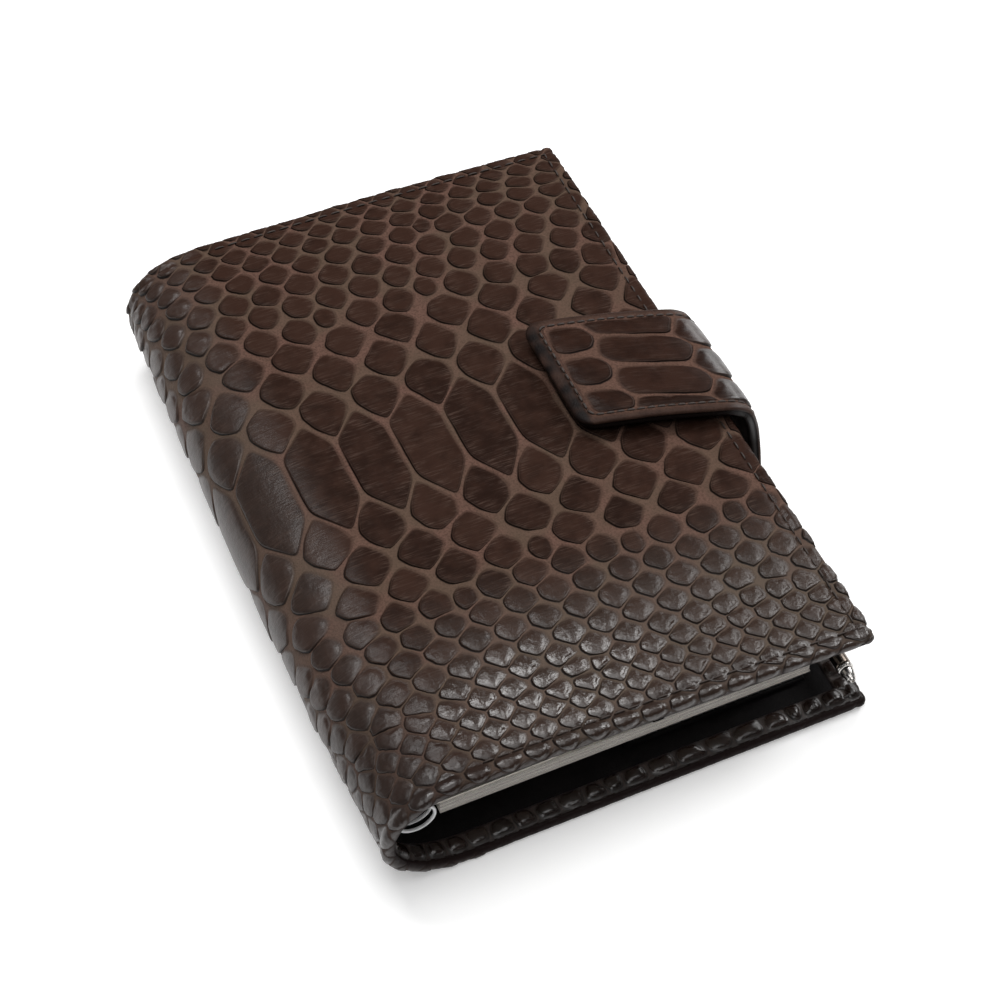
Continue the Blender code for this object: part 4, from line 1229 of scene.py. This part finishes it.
def build_strap():
    rnd = random.Random(3)
    seeds, groups, shapes, low = [], [], [], []
    for i, (x, across, a, b, pw, turn, reach) in enumerate(STRAP_ROWS):
        p0 = strap_p(x) if x < 66 else ST_REF + 66.0 - x
        for j, w0 in enumerate(across):
            p, w = p0 + rnd.uniform(-0.4, 0.4), w0 + rnd.uniform(-0.25, 0.25)
            for k in ((-reach, 0.0, reach) if reach else (0.0,)):
                seeds.append((p + k * math.cos(turn), w + k * math.sin(turn)))
                groups.append((i, j) if reach else None)
                shapes.append((a * 1.24, b * 1.10, 3.0, 0.0, turn) if reach else (a, b, pw, 0.0, turn))
                low.append(x > 60.0)
    inner, _ = strap_outline(ST_BAND - 0.3, ST_END_BAND - 0.3)
    border = [tuple(q) for q in inner[::3]] + [tuple(inner[-1])]
    cells = cells_of(seeds, [26.0 if shape[0] == 7.0 else 0.0 for shape in shapes], border, near=26)
    joined = {}
    for poly, g in zip(cells, groups):
        if g is not None and poly is not None:
            joined.setdefault(g, []).extend(poly)
    rng = np.random.default_rng(8)
    parts = {"lower": SkinMesh(), "upper": SkinMesh()}
    done = set()
    for (p, w), g, poly, shape, below in zip(seeds, groups, cells, shapes, low):
        if g is not None:
            if g in done or g not in joined:
                continue
            done.add(g)
            poly = hull(joined[g])
        d = rng.uniform(0, 1, 3)
        if poly is None:
            continue
        mesh = parts["lower" if p < ST_SPLIT else "upper"]
        mesh.cell(poly, 0.45, 9.0, 0.06, (0.60 if below else 0.32) + 0.12 * d[0], 0.14, (0.8, 0.6) if below else (0.45, 0.89),
                  d[1], rng, 0.8, centre=None if g is not None else (p, w), oval=shape, ragged=0.006)

    def modulate(pw):
        d = np.minimum(np.minimum(pw[:, 1] + ST_HALF, ST_HALF - pw[:, 1]) - ST_BAND, ST_L - pw[:, 0] - ST_END_BAND)
        gain = 0.12 + 0.88 * smooth01((d + 0.2) / 0.9)
        return gain, 0.25 + 0.75 * smooth01((d + 0.3) / 0.6), np.zeros(len(pw))

    return {k: mesh.finish("strap_" + k + "_scales", strap_map, modulate, lambda sv, m: m * 0.04 * noise_at(sv, 0.6, 1.0))
            for k, mesh in parts.items()}


def strap_bend(ob, part):
    if part == "lower":
        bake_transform(ob)
    else:
        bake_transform(ob)


STRAP_SKIN = scaled_leather("strap_skin", (0.0135, 0.0060, 0.0041), (0.0285, 0.0128, 0.0086),
                            (0.112, 0.0610, 0.0450), (0.096, 0.053, 0.038), (0.0080, 0.0056, 0.0052),
                            gloss=0.30, fibre=0.55, zoned=False, shine=0.06, bend=ST_REF)
strap = build_strap()
dress(strap["lower"], STRAP_SKIN, nodes=("strap_side_leather",))
dress(strap["upper"], STRAP_SKIN, nodes=("strap_tab_leather",))

# the plain border of the strap: a stitched groove beside the scales, a smooth
# margin, and an edge that darkens over its turn: partly the darker layer under it, partly painted shade
band_in, outward = strap_outline(ST_BAND, ST_END_BAND)
band_out, _ = strap_outline(ST_R, ST_R)
profile = [(-0.22, -0.12, 0.0), (-0.10, 0.0, 0.0), (0.02, 0.03, 0.0), (0.10, -0.06, 0.0), (0.18, -0.16, 0.0), (0.26, -0.15, 0.0),
           (0.34, -0.02, 0.0), (0.44, 0.10, 0.0), (0.62, 0.15, 0.10), (0.82, 0.16, 0.22), (1.0, 0.15, 0.34)]
flat_n = len(profile)
for k in range(1, 25):
    t = k / 24.0
    dip = 0.34 * math.exp(-((t - 0.47) / 0.045) ** 2)
    profile.append((ST_T * t, 0.15 * (1 - t) - dip, 0.44 + 0.56 * float(smooth01((t - 0.36) / 0.08))))
np_ = len(profile)
for part in ("lower", "upper"):
    keep = [i for i, p in enumerate(band_in) if (p[0] <= ST_SPLIT + 0.5 if part == "lower" else p[0] >= ST_SPLIT - 0.5)]
    runs, cur = [], [keep[0]]
    for i in keep[1:]:
        if i == cur[-1] + 1:
            cur.append(i)
        else:
            runs.append(cur)
            cur = [i]
    runs.append(cur)
    pw, hh, edge, faces = [], [], [], []
    for run in runs:
        base = len(pw)
        for i in run:
            wob = 0.05 * noise.noise(Vector((band_in[i][0] * 0.35, band_in[i][1] * 0.35, 7.0)))
            for j, (o, h, ed) in enumerate(profile):
                pw.append(band_in[i] + (band_out[i] - band_in[i]) * o if j < flat_n else band_out[i] + outward[i] * o)
                hh.append(h + wob)
                edge.append(ed)
        for a in range(len(run) - 1):
            for b in range(np_ - 1):
                faces.append((base + a * np_ + b, base + (a + 1) * np_ + b, base + (a + 1) * np_ + b + 1, base + a * np_ + b + 1))
    pw, hh, edge = np.array(pw), np.array(hh), np.array(edge)
    pos = strap_map(pw, hh)
    lum = 0.42 + 0.45 * noise_at(pw, 0.22, 6.0)
    # painted shade: the free end's face is darkened to near black in patches
    at_end = smooth01((pw[:, 0] - ST_L + 4.4) / 1.6)
    edge = np.maximum(edge, at_end * np.clip(0.84 + 0.6 * noise_at(pw, 0.30, 4.0), 0.3, 1.0))
    ob = make_mesh("strap_" + part + "_border", row(pos), faces,
                   {"scale_mask": np.clip(lum, 0, 1), "scale_rim": np.zeros(len(pw)), "scale_rnd": np.full(len(pw), 0.4),
                    "scale_rad": np.full(len(pw), 0.3), "scale_edge": edge},
                   np.c_[pw, np.zeros(len(pw))])
    facing(ob, (1, 0, 0.3) if part == "lower" else (0, 0, 1))
    dress(ob, STRAP_SKIN)
    strap_bend(ob, part)
    strap_bend(strap[part], part)

# lining on the strap's underside
for part, p0, p1 in (("lower", 0.0, ST_SPLIT), ("upper", ST_SPLIT, ST_L - ST_R)):
    ps = np.linspace(p0, p1, 50)
    g, faces = [], []
    m = 25
    for p in ps:
        over = max(0.0, p - (ST_L - ST_R - ST_CORNER))
        hw = ST_HALF - ST_R - (ST_CORNER - math.sqrt(max(ST_CORNER ** 2 - over ** 2, 0.0)) if over > 0 else 0.0)
        for w in np.linspace(-hw, hw, m):
            g.append((p, w))
    g = np.array(g)
    P, T, N, D = strap_frame(g[:, 0], g[:, 1])
    pos = P - N * (D + 0.02 + 0.04 * noise_at(g, 0.3, 3.0))[:, None]
    faces = [(i * m + j, i * m + j + 1, (i + 1) * m + j + 1, (i + 1) * m + j) for i in range(49) for j in range(m - 1)]
    ob = make_mesh("strap_" + part + "_backing", row(pos), faces, None, np.c_[g, np.zeros(len(g))])
    facing(ob, (-1, 0, -0.2) if part == "lower" else (0, 0, -1))
    dress(ob, STRAP_BACK, nodes=("strap_side_lining",) if part == "lower" else ("strap_tab_lining",))
    strap_bend(ob, part)

# strap stitching, in the groove of the border
groove = band_in + (band_out - band_in) * 0.22
for part in ("lower", "upper"):
    runs = []
    cur = []
    for p in groove:
        if p[0] <= ST_SPLIT if part == "lower" else p[0] > ST_SPLIT:
            cur.append(p)
        elif cur:
            runs.append(cur)
            cur = []
    if cur:
        runs.append(cur)
    for k, run in enumerate(runs):
        pw = np.array(run)
        a = strap_map(pw, np.full(len(pw), -0.10))
        b = strap_map(pw, np.full(len(pw), 0.40))
        ob = stitches("strap_%s_stitching_%d" % (part, k), list(zip(a, (b - a) / 0.5)), THREAD,
                      length=2.3, pitch=2.7, radius=0.36, rise=0.22, sink=0.24)
        strap_bend(ob, part)

# ---------------------------------------------------------------- pages
PAGE_LEVELS = {
    "insert_front_card": (21.90, 22.25, 1, "leaves_last"),
    "page_block_last": (22.50, 23.60, 8, "leaves_last"),
    "page_block_middle": (23.85, 24.95, 8, "leaves_middle"),
    "page_block_first": (25.20, 26.30, 8, "leaves_first"),
}
HOLE_X = (-54.4, -49.9)


def leaf(x0, x1, y0, y1, z0, z1):
    """One leaf with its punched slots, as a closed thin plate."""
    xs = [x0, HOLE_X[0], HOLE_X[1], x1 - 1.2, x1]
    ys = [y0]
    holes = []
    for i in range(WIRE_COUNT):
        y = WIRE_FIRST_Y + WIRE_PITCH * i
        a, b = y - 1.95, y + 1.95
        if b > y1 - 0.2:
            continue
        if a < y0 + 0.8:
            ys.append(b)
            continue
        holes.append(len(ys))
        ys += [a, b]
    ys.append(y1)
    nx, ny = len(xs), len(ys)
    verts = [(x, y, z) for z in (z0, z1) for x in xs for y in ys]
    idx = lambda k, i, j: k * nx * ny + i * ny + j
    solid = {(i, j) for i in range(nx - 1) for j in range(ny - 1)
             if not (i < 2 and j in holes) and not (i < 2 and ys[j] < WIRE_FIRST_Y)}
    faces = []
    for i, j in solid:
        faces.append((idx(1, i, j), idx(1, i + 1, j), idx(1, i + 1, j + 1), idx(1, i, j + 1)))
        faces.append((idx(0, i, j), idx(0, i, j + 1), idx(0, i + 1, j + 1), idx(0, i + 1, j)))
        for (di, dj), (a, b) in {(-1, 0): ((i, j + 1), (i, j)), (1, 0): ((i + 1, j), (i + 1, j + 1)),
                                 (0, -1): ((i, j), (i + 1, j)), (0, 1): ((i + 1, j + 1), (i, j + 1))}.items():
            if (i + di, j + dj) not in solid:
                faces.append((idx(0, *a), idx(0, *b), idx(1, *b), idx(1, *a)))
    return verts, faces


def cut_edges(ob):
    """Mark the faces that stand upright, where the paper is cut; the paper material paints them darker as shade between
    the leaves.
    """
    n = np.zeros(len(ob.data.polygons) * 3)
    ob.data.polygons.foreach_get("normal", n)
    a = ob.data.attributes.new("cut_edge", "FLOAT", "FACE")
    a.data.foreach_set("value", (np.abs(n.reshape(-1, 3)[:, 2]) < 0.5).astype(np.float32))


page_rng = random.Random(17)
for node, (z0, z1, count, body) in PAGE_LEVELS.items():
    verts, faces = [], []
    t = (z1 - z0) / count
    for k in range(count):
        jy, jx = page_rng.uniform(-0.035, 0.035), page_rng.uniform(-0.05, 0.05)
        v, f = leaf(PAGE_X0 - 0.3, PAGE_X1 + (0.4 if count == 1 else jx), PAGE_Y0 + (0 if count == 1 else jy), PAGE_Y1 + jy,
                    z0 + t * k + 0.012, z0 + t * (k + 1) - 0.012)
        base = len(verts)
        verts += v
        faces += [tuple(i + base for i in q) for q in f]
    ob = make_mesh(node + "_leaves", row(np.array(verts)), faces, smooth=False)
    cut_edges(ob)
    dress(ob, CARD if count == 1 else PAPER, body=body, nodes=(node,))

# ---------------------------------------------------------------- binding wire
path = []
seam, tip = math.radians(120.0), math.radians(-214.0)
for i in range(WIRE_COUNT):
    y = WIRE_FIRST_Y + WIRE_PITCH * i
    steps = 30
    for sgn in (-1, 1):
        ks = range(steps + 1) if sgn < 0 else reversed(range(steps + 1))
        for k in ks:
            a = seam + (tip - seam) * k / steps
            squeeze = 1.0 - 0.35 * max(0.0, (k / steps - 0.93) / 0.07) - 0.25 * max(0.0, (0.07 - k / steps) / 0.07) * 0
            path.append((WIRE_C[0] + WIRE_R * math.cos(a), y + sgn * WIRE_PAIR / 2 * squeeze, WIRE_C[1] + WIRE_R * math.sin(a)))
pts = [np.array(p) for p in path]
for _ in range(2):
    nxt = [pts[0]]
    for a, b in zip(pts[:-1], pts[1:]):
        if np.linalg.norm(b - a) > 0.5:
            nxt += [a * 0.75 + b * 0.25, a * 0.25 + b * 0.75]
        else:
            nxt.append((a + b) / 2)
    nxt.append(pts[-1])
    pts = nxt
v, f = tube_mesh([tuple(p) for p in pts], WIRE_RAD, 9)
ob = make_mesh("binding_loops", row(np.array(v)), f)
dress(ob, WIRE, body="front_cover", nodes=("binding_wire",))


# ---------------------------------------------------------------- pen
def turned(name, profile, place, mat, body, nodes, sides=44, corner=0.12):
    v, f = lathe(rounded(profile, corner), sides)
    ob = make_mesh(name, row(np.array([place(p) for p in v])), f)
    recalc(ob)
    ob.data.set_sharp_from_angle(angle=math.radians(50))
    return dress(ob, mat, body=body, nodes=nodes)


def on_pen(p):
    return (PEN_X + p[0], PEN_TIP_Y + p[2], PEN_Z + p[1])


turned("pen_tip", [(0.42, 3.41), (0.42, 0.06), (0.55, 0.0), (0.80, 0.2), (1.0, 0.7), (1.06, 0.85), (1.2, 0.9), (1.62, 2.3), (1.84, 3.15), (1.84, 3.4), (0.42, 3.41)],
       on_pen, CHROME, "pen", ("pen_tip_cone",))
turned("pen_collar", [(0.55, 4.8), (0.55, 3.68), (1.85, 3.68), (2.12, 3.8), (2.2, 3.95), (2.04, 4.12), (2.04, 4.2), (2.2, 4.38), (2.18, 4.65), (2.0, 4.82), (0.55, 4.8)],
       on_pen, CHROME, "pen", ("pen_ring",), corner=0.05)
turned("pen_lower", [(1.4, 61.98), (1.4, 5.08), (1.9, 5.08), (2.1, 5.3), (2.1, 13.0), (2.02, 13.2), (2.02, 13.5), (2.1, 13.7), (2.1, 61.7), (1.95, 62.0), (1.4, 61.98)],
       on_pen, PEN_BODY, "pen", ("pen_lower_barrel",))
turned("pen_upper", [(0.0, 78.0), (1.4, 78.0), (1.4, 62.32), (1.95, 62.32), (2.1, 62.6), (2.1, 64.0), (2.0, 64.2), (2.0, 64.8), (2.1, 65.0), (2.1, 112.5), (2.0, 112.8), (2.0, 113.3), (2.1, 113.6),
                     (2.1, 114.9), (1.6, 116.9), (0.95, 117.45), (0.0, 117.6)],
       on_pen, PEN_BODY, "pen_top", ("pen_upper_barrel",))
turned("pen_ink", [(0.0, 0.55), (0.22, 0.6), (0.3, 0.8), (0.3, 8.6), (1.1, 10.2), (1.1, 73.9), (0.0, 74.0)],
       on_pen, BRASS_REFILL, "pen_refill", ("pen_refill",), sides=24)

# pen loop: a folded band stitched inside the back cover
loop_r = PEN_R + 0.75
neck = 0.5
lp = [(55.6, 4.1), (57.4, 4.1), (59.4, 4.12), (61.0, 4.2), (61.75, 4.9), (PEN_X - neck, PEN_Z - loop_r - 1.0)]
a0 = math.asin(neck / loop_r)
for k in range(33):
    a = -math.pi / 2 - a0 - (2 * math.pi - 2 * a0) * k / 32
    lp.append((PEN_X + loop_r * math.cos(a), PEN_Z + loop_r * math.sin(a)))
lp += [(PEN_X + neck, PEN_Z - loop_r - 1.0), (PEN_X + neck, 6.2)]
lp = catmull(lp, 0.35)
ys = np.linspace(-64.0, -38.0, 30)
verts, faces, half_t = [], [], 0.4
n = len(lp)
tang = np.gradient(lp, axis=0)
tang /= np.linalg.norm(tang, axis=1)[:, None]
nor = np.c_[-tang[:, 1], tang[:, 0]]
prof = []
for k, y in enumerate(ys):
    e = min(y - ys[0], ys[-1] - y)
    prof.append((y, half_t * (1 - 0.45 * math.exp(-(e / 0.45) ** 2)) + 0.03 * math.sin(y * 5.1)))
ring = [(y, t) for y, t in prof] + [(y, -t) for y, t in prof[::-1]]
for i in range(n):
    for y, t in ring:
        verts.append((lp[i, 0] + nor[i, 0] * t, y, lp[i, 1] + nor[i, 1] * t))
m = len(ring)
for i in range(n - 1):
    for j in range(m):
        faces.append((i * m + j, i * m + (j + 1) % m, (i + 1) * m + (j + 1) % m, (i + 1) * m + j))
faces.append(tuple(range(m)))
faces.append(tuple(range((n - 1) * m, n * m))[::-1])
ob = recalc(make_mesh("pen_band", row(np.array(verts)), faces))
ob.data.set_sharp_from_angle(angle=math.radians(60))
dress(ob, LOOP_SKIN, body="back_cover", nodes=("pen_loop",))
st = [((56.6 + 0.0 * k, -63.0 + 24.0 * k / 30, 4.5), (0.0, 0.0, 1.0)) for k in range(31)]
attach(stitches("pen_band_stitching", st, BLACK_THREAD, length=2.0, pitch=2.7, radius=0.22, rise=0.12, sink=0.2), "back_cover")

# ---------------------------------------------------------------- snap
tilt = math.atan(2 * MID_SLOPE)
cover_z = mirrored((SNAP_X, 0.0))[1]


def at_snap(angle):
    c, s = math.cos(angle), math.sin(angle)
    return lambda p: (SNAP_X + p[0] * c - p[2] * s, SNAP_Y + p[1], cover_z + p[0] * s + p[2] * c)


turned("snap_post", [(0.0, 2.05), (0.9, 2.05), (2.0, 2.0), (2.6, 1.75), (2.75, 1.35), (2.6, 1.0), (3.2, 0.95), (5.0, 0.95), (5.2, 0.8), (5.2, 0.5), (5.0, 0.3), (1.2, 0.3), (1.2, -0.9), (0.0, -0.9)],
       at_snap(tilt), SNAP, "front_cover", ("snap_stud",), corner=0.15)
turned("snap_post_rivet", [(0.0, -1.25), (3.6, -1.25), (4.0, -1.45), (4.0, -2.1), (0.0, -2.1)],
       at_snap(tilt), SNAP, "front_cover", ("snap_stud_rivet",), corner=0.2)
turned("snap_cup", [(0.0, 4.7), (1.2, 4.7), (1.2, 2.6), (5.6, 2.6), (6.0, 2.4), (6.05, 1.5), (5.8, 1.15), (4.6, 1.1), (4.2, 1.2), (3.4, 1.85), (2.2, 2.35), (0.0, 2.4)],
       at_snap(0.0), SNAP, "strap_tab", ("snap_socket",), corner=0.15)
turned("snap_cup_cap", [(0.0, 5.6), (4.2, 5.58), (4.6, 5.4), (4.6, 5.05), (0.0, 5.05)],
       at_snap(0.0), SNAP, "strap_tab", ("snap_cap",), corner=0.2)

# ---------------------------------------------------------------- kept CAD pieces
for name, mat in (("back_cover_board", BOARD), ("front_cover_board", BOARD), ("insert_back_card", CARD)):
    NODES[name].data.materials.clear()
    NODES[name].data.materials.append(mat)


def pocket_trim(side):
    """A turned edge along the pocket mouth and stitching round its other sides."""
    m = (lambda p: p) if side == "back" else mirrored
    if side == "back":
        x0, x1, y0, y1, top, drop = 4.0, 54.8, -83.0, 83.0, 4.8, 0.7
    else:
        x0, x1, y0, y1, top, drop = 5.0, 63.4, -93.4, 93.4, 5.05, 0.9
    ys = np.linspace(y0 + 0.2, y1 - 0.2, 90)
    prof = [(0.0, -0.45), (-0.28, -0.2), (-0.3, 0.1), (0.1, 0.3), (1.6, 0.34), (2.6, 0.26), (2.9, 0.02)]
    verts, faces = [], []
    for y in ys:
        for a, b in prof:
            wob = 0.04 * noise.noise(Vector((a * 0.5, y * 0.12, 2.0)))
            x, z = m((x0 + a, top + b + wob))
            verts.append((x, y, z))
    k = len(prof)
    faces = [(i * k + j, i * k + j + 1, (i + 1) * k + j + 1, (i + 1) * k + j) for i in range(len(ys) - 1) for j in range(k - 1)]
    ob = make_mesh(side + "_pocket_binding", row(np.array(verts)), faces)
    facing(ob, (0, 0, 1) if side == "back" else (0, 0, -1))
    dress(ob, POCKET, body=side + "_cover")
    up = np.array([0.0, 0.0, 1.0]) if side == "back" else np.array([0.0375, 0.0, -0.9993])
    corner = [(x0 + 3.2, y0 + 1.1), (x1 - 1.1, y0 + 1.1), (x1 - 1.1, y1 - 1.1), (x0 + 3.2, y1 - 1.1)]
    xs = np.r_[x0 + 0.05, x0 + 0.5, np.linspace(x0 + 1.4, x1 - 3.0, 30), np.linspace(x1 - 2.5, x1, 12)]
    ys = np.r_[np.linspace(y0, y0 + 2.5, 12), np.linspace(y0 + 3.0, y1 - 3.0, 74), np.linspace(y1 - 2.5, y1, 12)]
    verts = []
    for x in xs:
        for y in ys:
            e = max(min(x1 - x, y - y0, y1 - y), 0.0)
            soft = 0.10 * noise.noise(Vector((x * 0.055, y * 0.04, 5.0))) * float(smooth01(e / 8.0))
            z = top + 0.02 + soft - 0.14 * math.exp(-((e - 1.1) / 0.5) ** 2) - drop * (1.0 - math.sqrt(1.0 - (1.0 - min(e / 0.7, 1.0)) ** 2))
            px, pz = m((x, z))
            verts.append((px, y, pz))
    k = len(ys)
    faces = [(i * k + j, i * k + j + 1, (i + 1) * k + j + 1, (i + 1) * k + j) for i in range(len(xs) - 1) for j in range(k - 1)]
    ob = make_mesh(side + "_pocket_panel", row(np.array(verts)), faces)
    facing(ob, (0, 0, 1) if side == "back" else (0, 0, -1))
    dress(ob, POCKET, body=side + "_cover", nodes=(side + "_slip_pocket",))
    st = []
    for (a, b), (c, d) in zip(corner[:-1], corner[1:]):
        n = int(math.hypot(c - a, d - b))
        for i in range(n):
            x, y = a + (c - a) * i / n, b + (d - b) * i / n
            px, pz = m((x, top + 0.04))
            st.append(((px, y, pz), up))
    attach(stitches(side + "_pocket_stitching", st, BLACK_THREAD, length=2.4, pitch=3.2, radius=0.2, rise=0.12, sink=0.2), side + "_cover")


pocket_trim("back")
pocket_trim("front")

# ---------------------------------------------------------------- stage
floor_mesh = bpy.data.meshes.new("floor")
floor_mesh.from_pydata([(-3, -3, -0.0002), (3, -3, -0.0002), (3, 3, -0.0002), (-3, 3, -0.0002)], [], [(0, 1, 2, 3)])
floor = bpy.data.objects.new("floor", floor_mesh)
bpy.context.scene.collection.objects.link(floor)
fm, fnt, fb = tree("white_floor")
fb.inputs["Base Color"].default_value = (0.92, 0.92, 0.92, 1)
fb.inputs["Roughness"].default_value = 0.9
fb.inputs["Specular IOR Level"].default_value = 0.0
fb.inputs["Emission Color"].default_value = (1.0, 1.0, 1.0, 1)
fb.inputs["Emission Strength"].default_value = 0.28
floor_mesh.materials.append(fm)


def area(name, target, direction, distance, size, power, size_y=None, color=(1, 1, 1)):
    d = Vector(direction).normalized()
    lamp = bpy.data.lights.new(name, "AREA")
    lamp.shape = "RECTANGLE"
    lamp.size = size
    lamp.size_y = size_y or size
    lamp.energy = power
    lamp.color = color
    ob = bpy.data.objects.new(name, lamp)
    ob.location = Vector(target) + d * distance
    ob.rotation_euler = (-d).to_track_quat("-Z", "Y").to_euler()
    bpy.context.scene.collection.objects.link(ob)
    return ob


area("key_softbox", (0, 0, 0.02), (0.70, 0.12, 0.70), 1.4, 0.50, 8.5)
area("side_softbox", (0.06, 0.0, 0.02), (0.75, 0.57, 0.36), 1.3, 0.5, 3.2)
area("back_softbox", (-0.04, -0.08, 0.03), (-0.05, 0.55, 1.0), 1.42, 0.60, 8.5, 0.32)
fill = area("fill_softbox", (-0.3, -0.35, 0.0), (0, 0, 1), 1.6, 1.6, 18.0)
fill.rotation_euler = (0.0, 0.0, 0.0)

world = bpy.data.worlds.new("studio")
world.use_nodes = True
bg = world.node_tree.nodes["Background"]
bg.inputs[0].default_value = (1.0, 1.0, 1.0, 1)
bg.inputs[1].default_value = 0.05
bpy.context.scene.world = world

cam_data = bpy.data.cameras.new("camera")
cam_data.lens = 93.86
cam_data.sensor_width = 36.0
cam_data.clip_start = 0.02
cam = bpy.data.objects.new("camera", cam_data)
cam.location = (-0.17377, -0.39551, 0.55207)
cam.rotation_euler = Vector((0.2563, 0.5678, -0.7823)).to_track_quat("-Z", "Y").to_euler()
bpy.context.scene.collection.objects.link(cam)
bpy.context.scene.camera = cam
bpy.context.scene.view_settings.view_transform = "Standard"
bpy.context.scene.view_settings.look = "None"
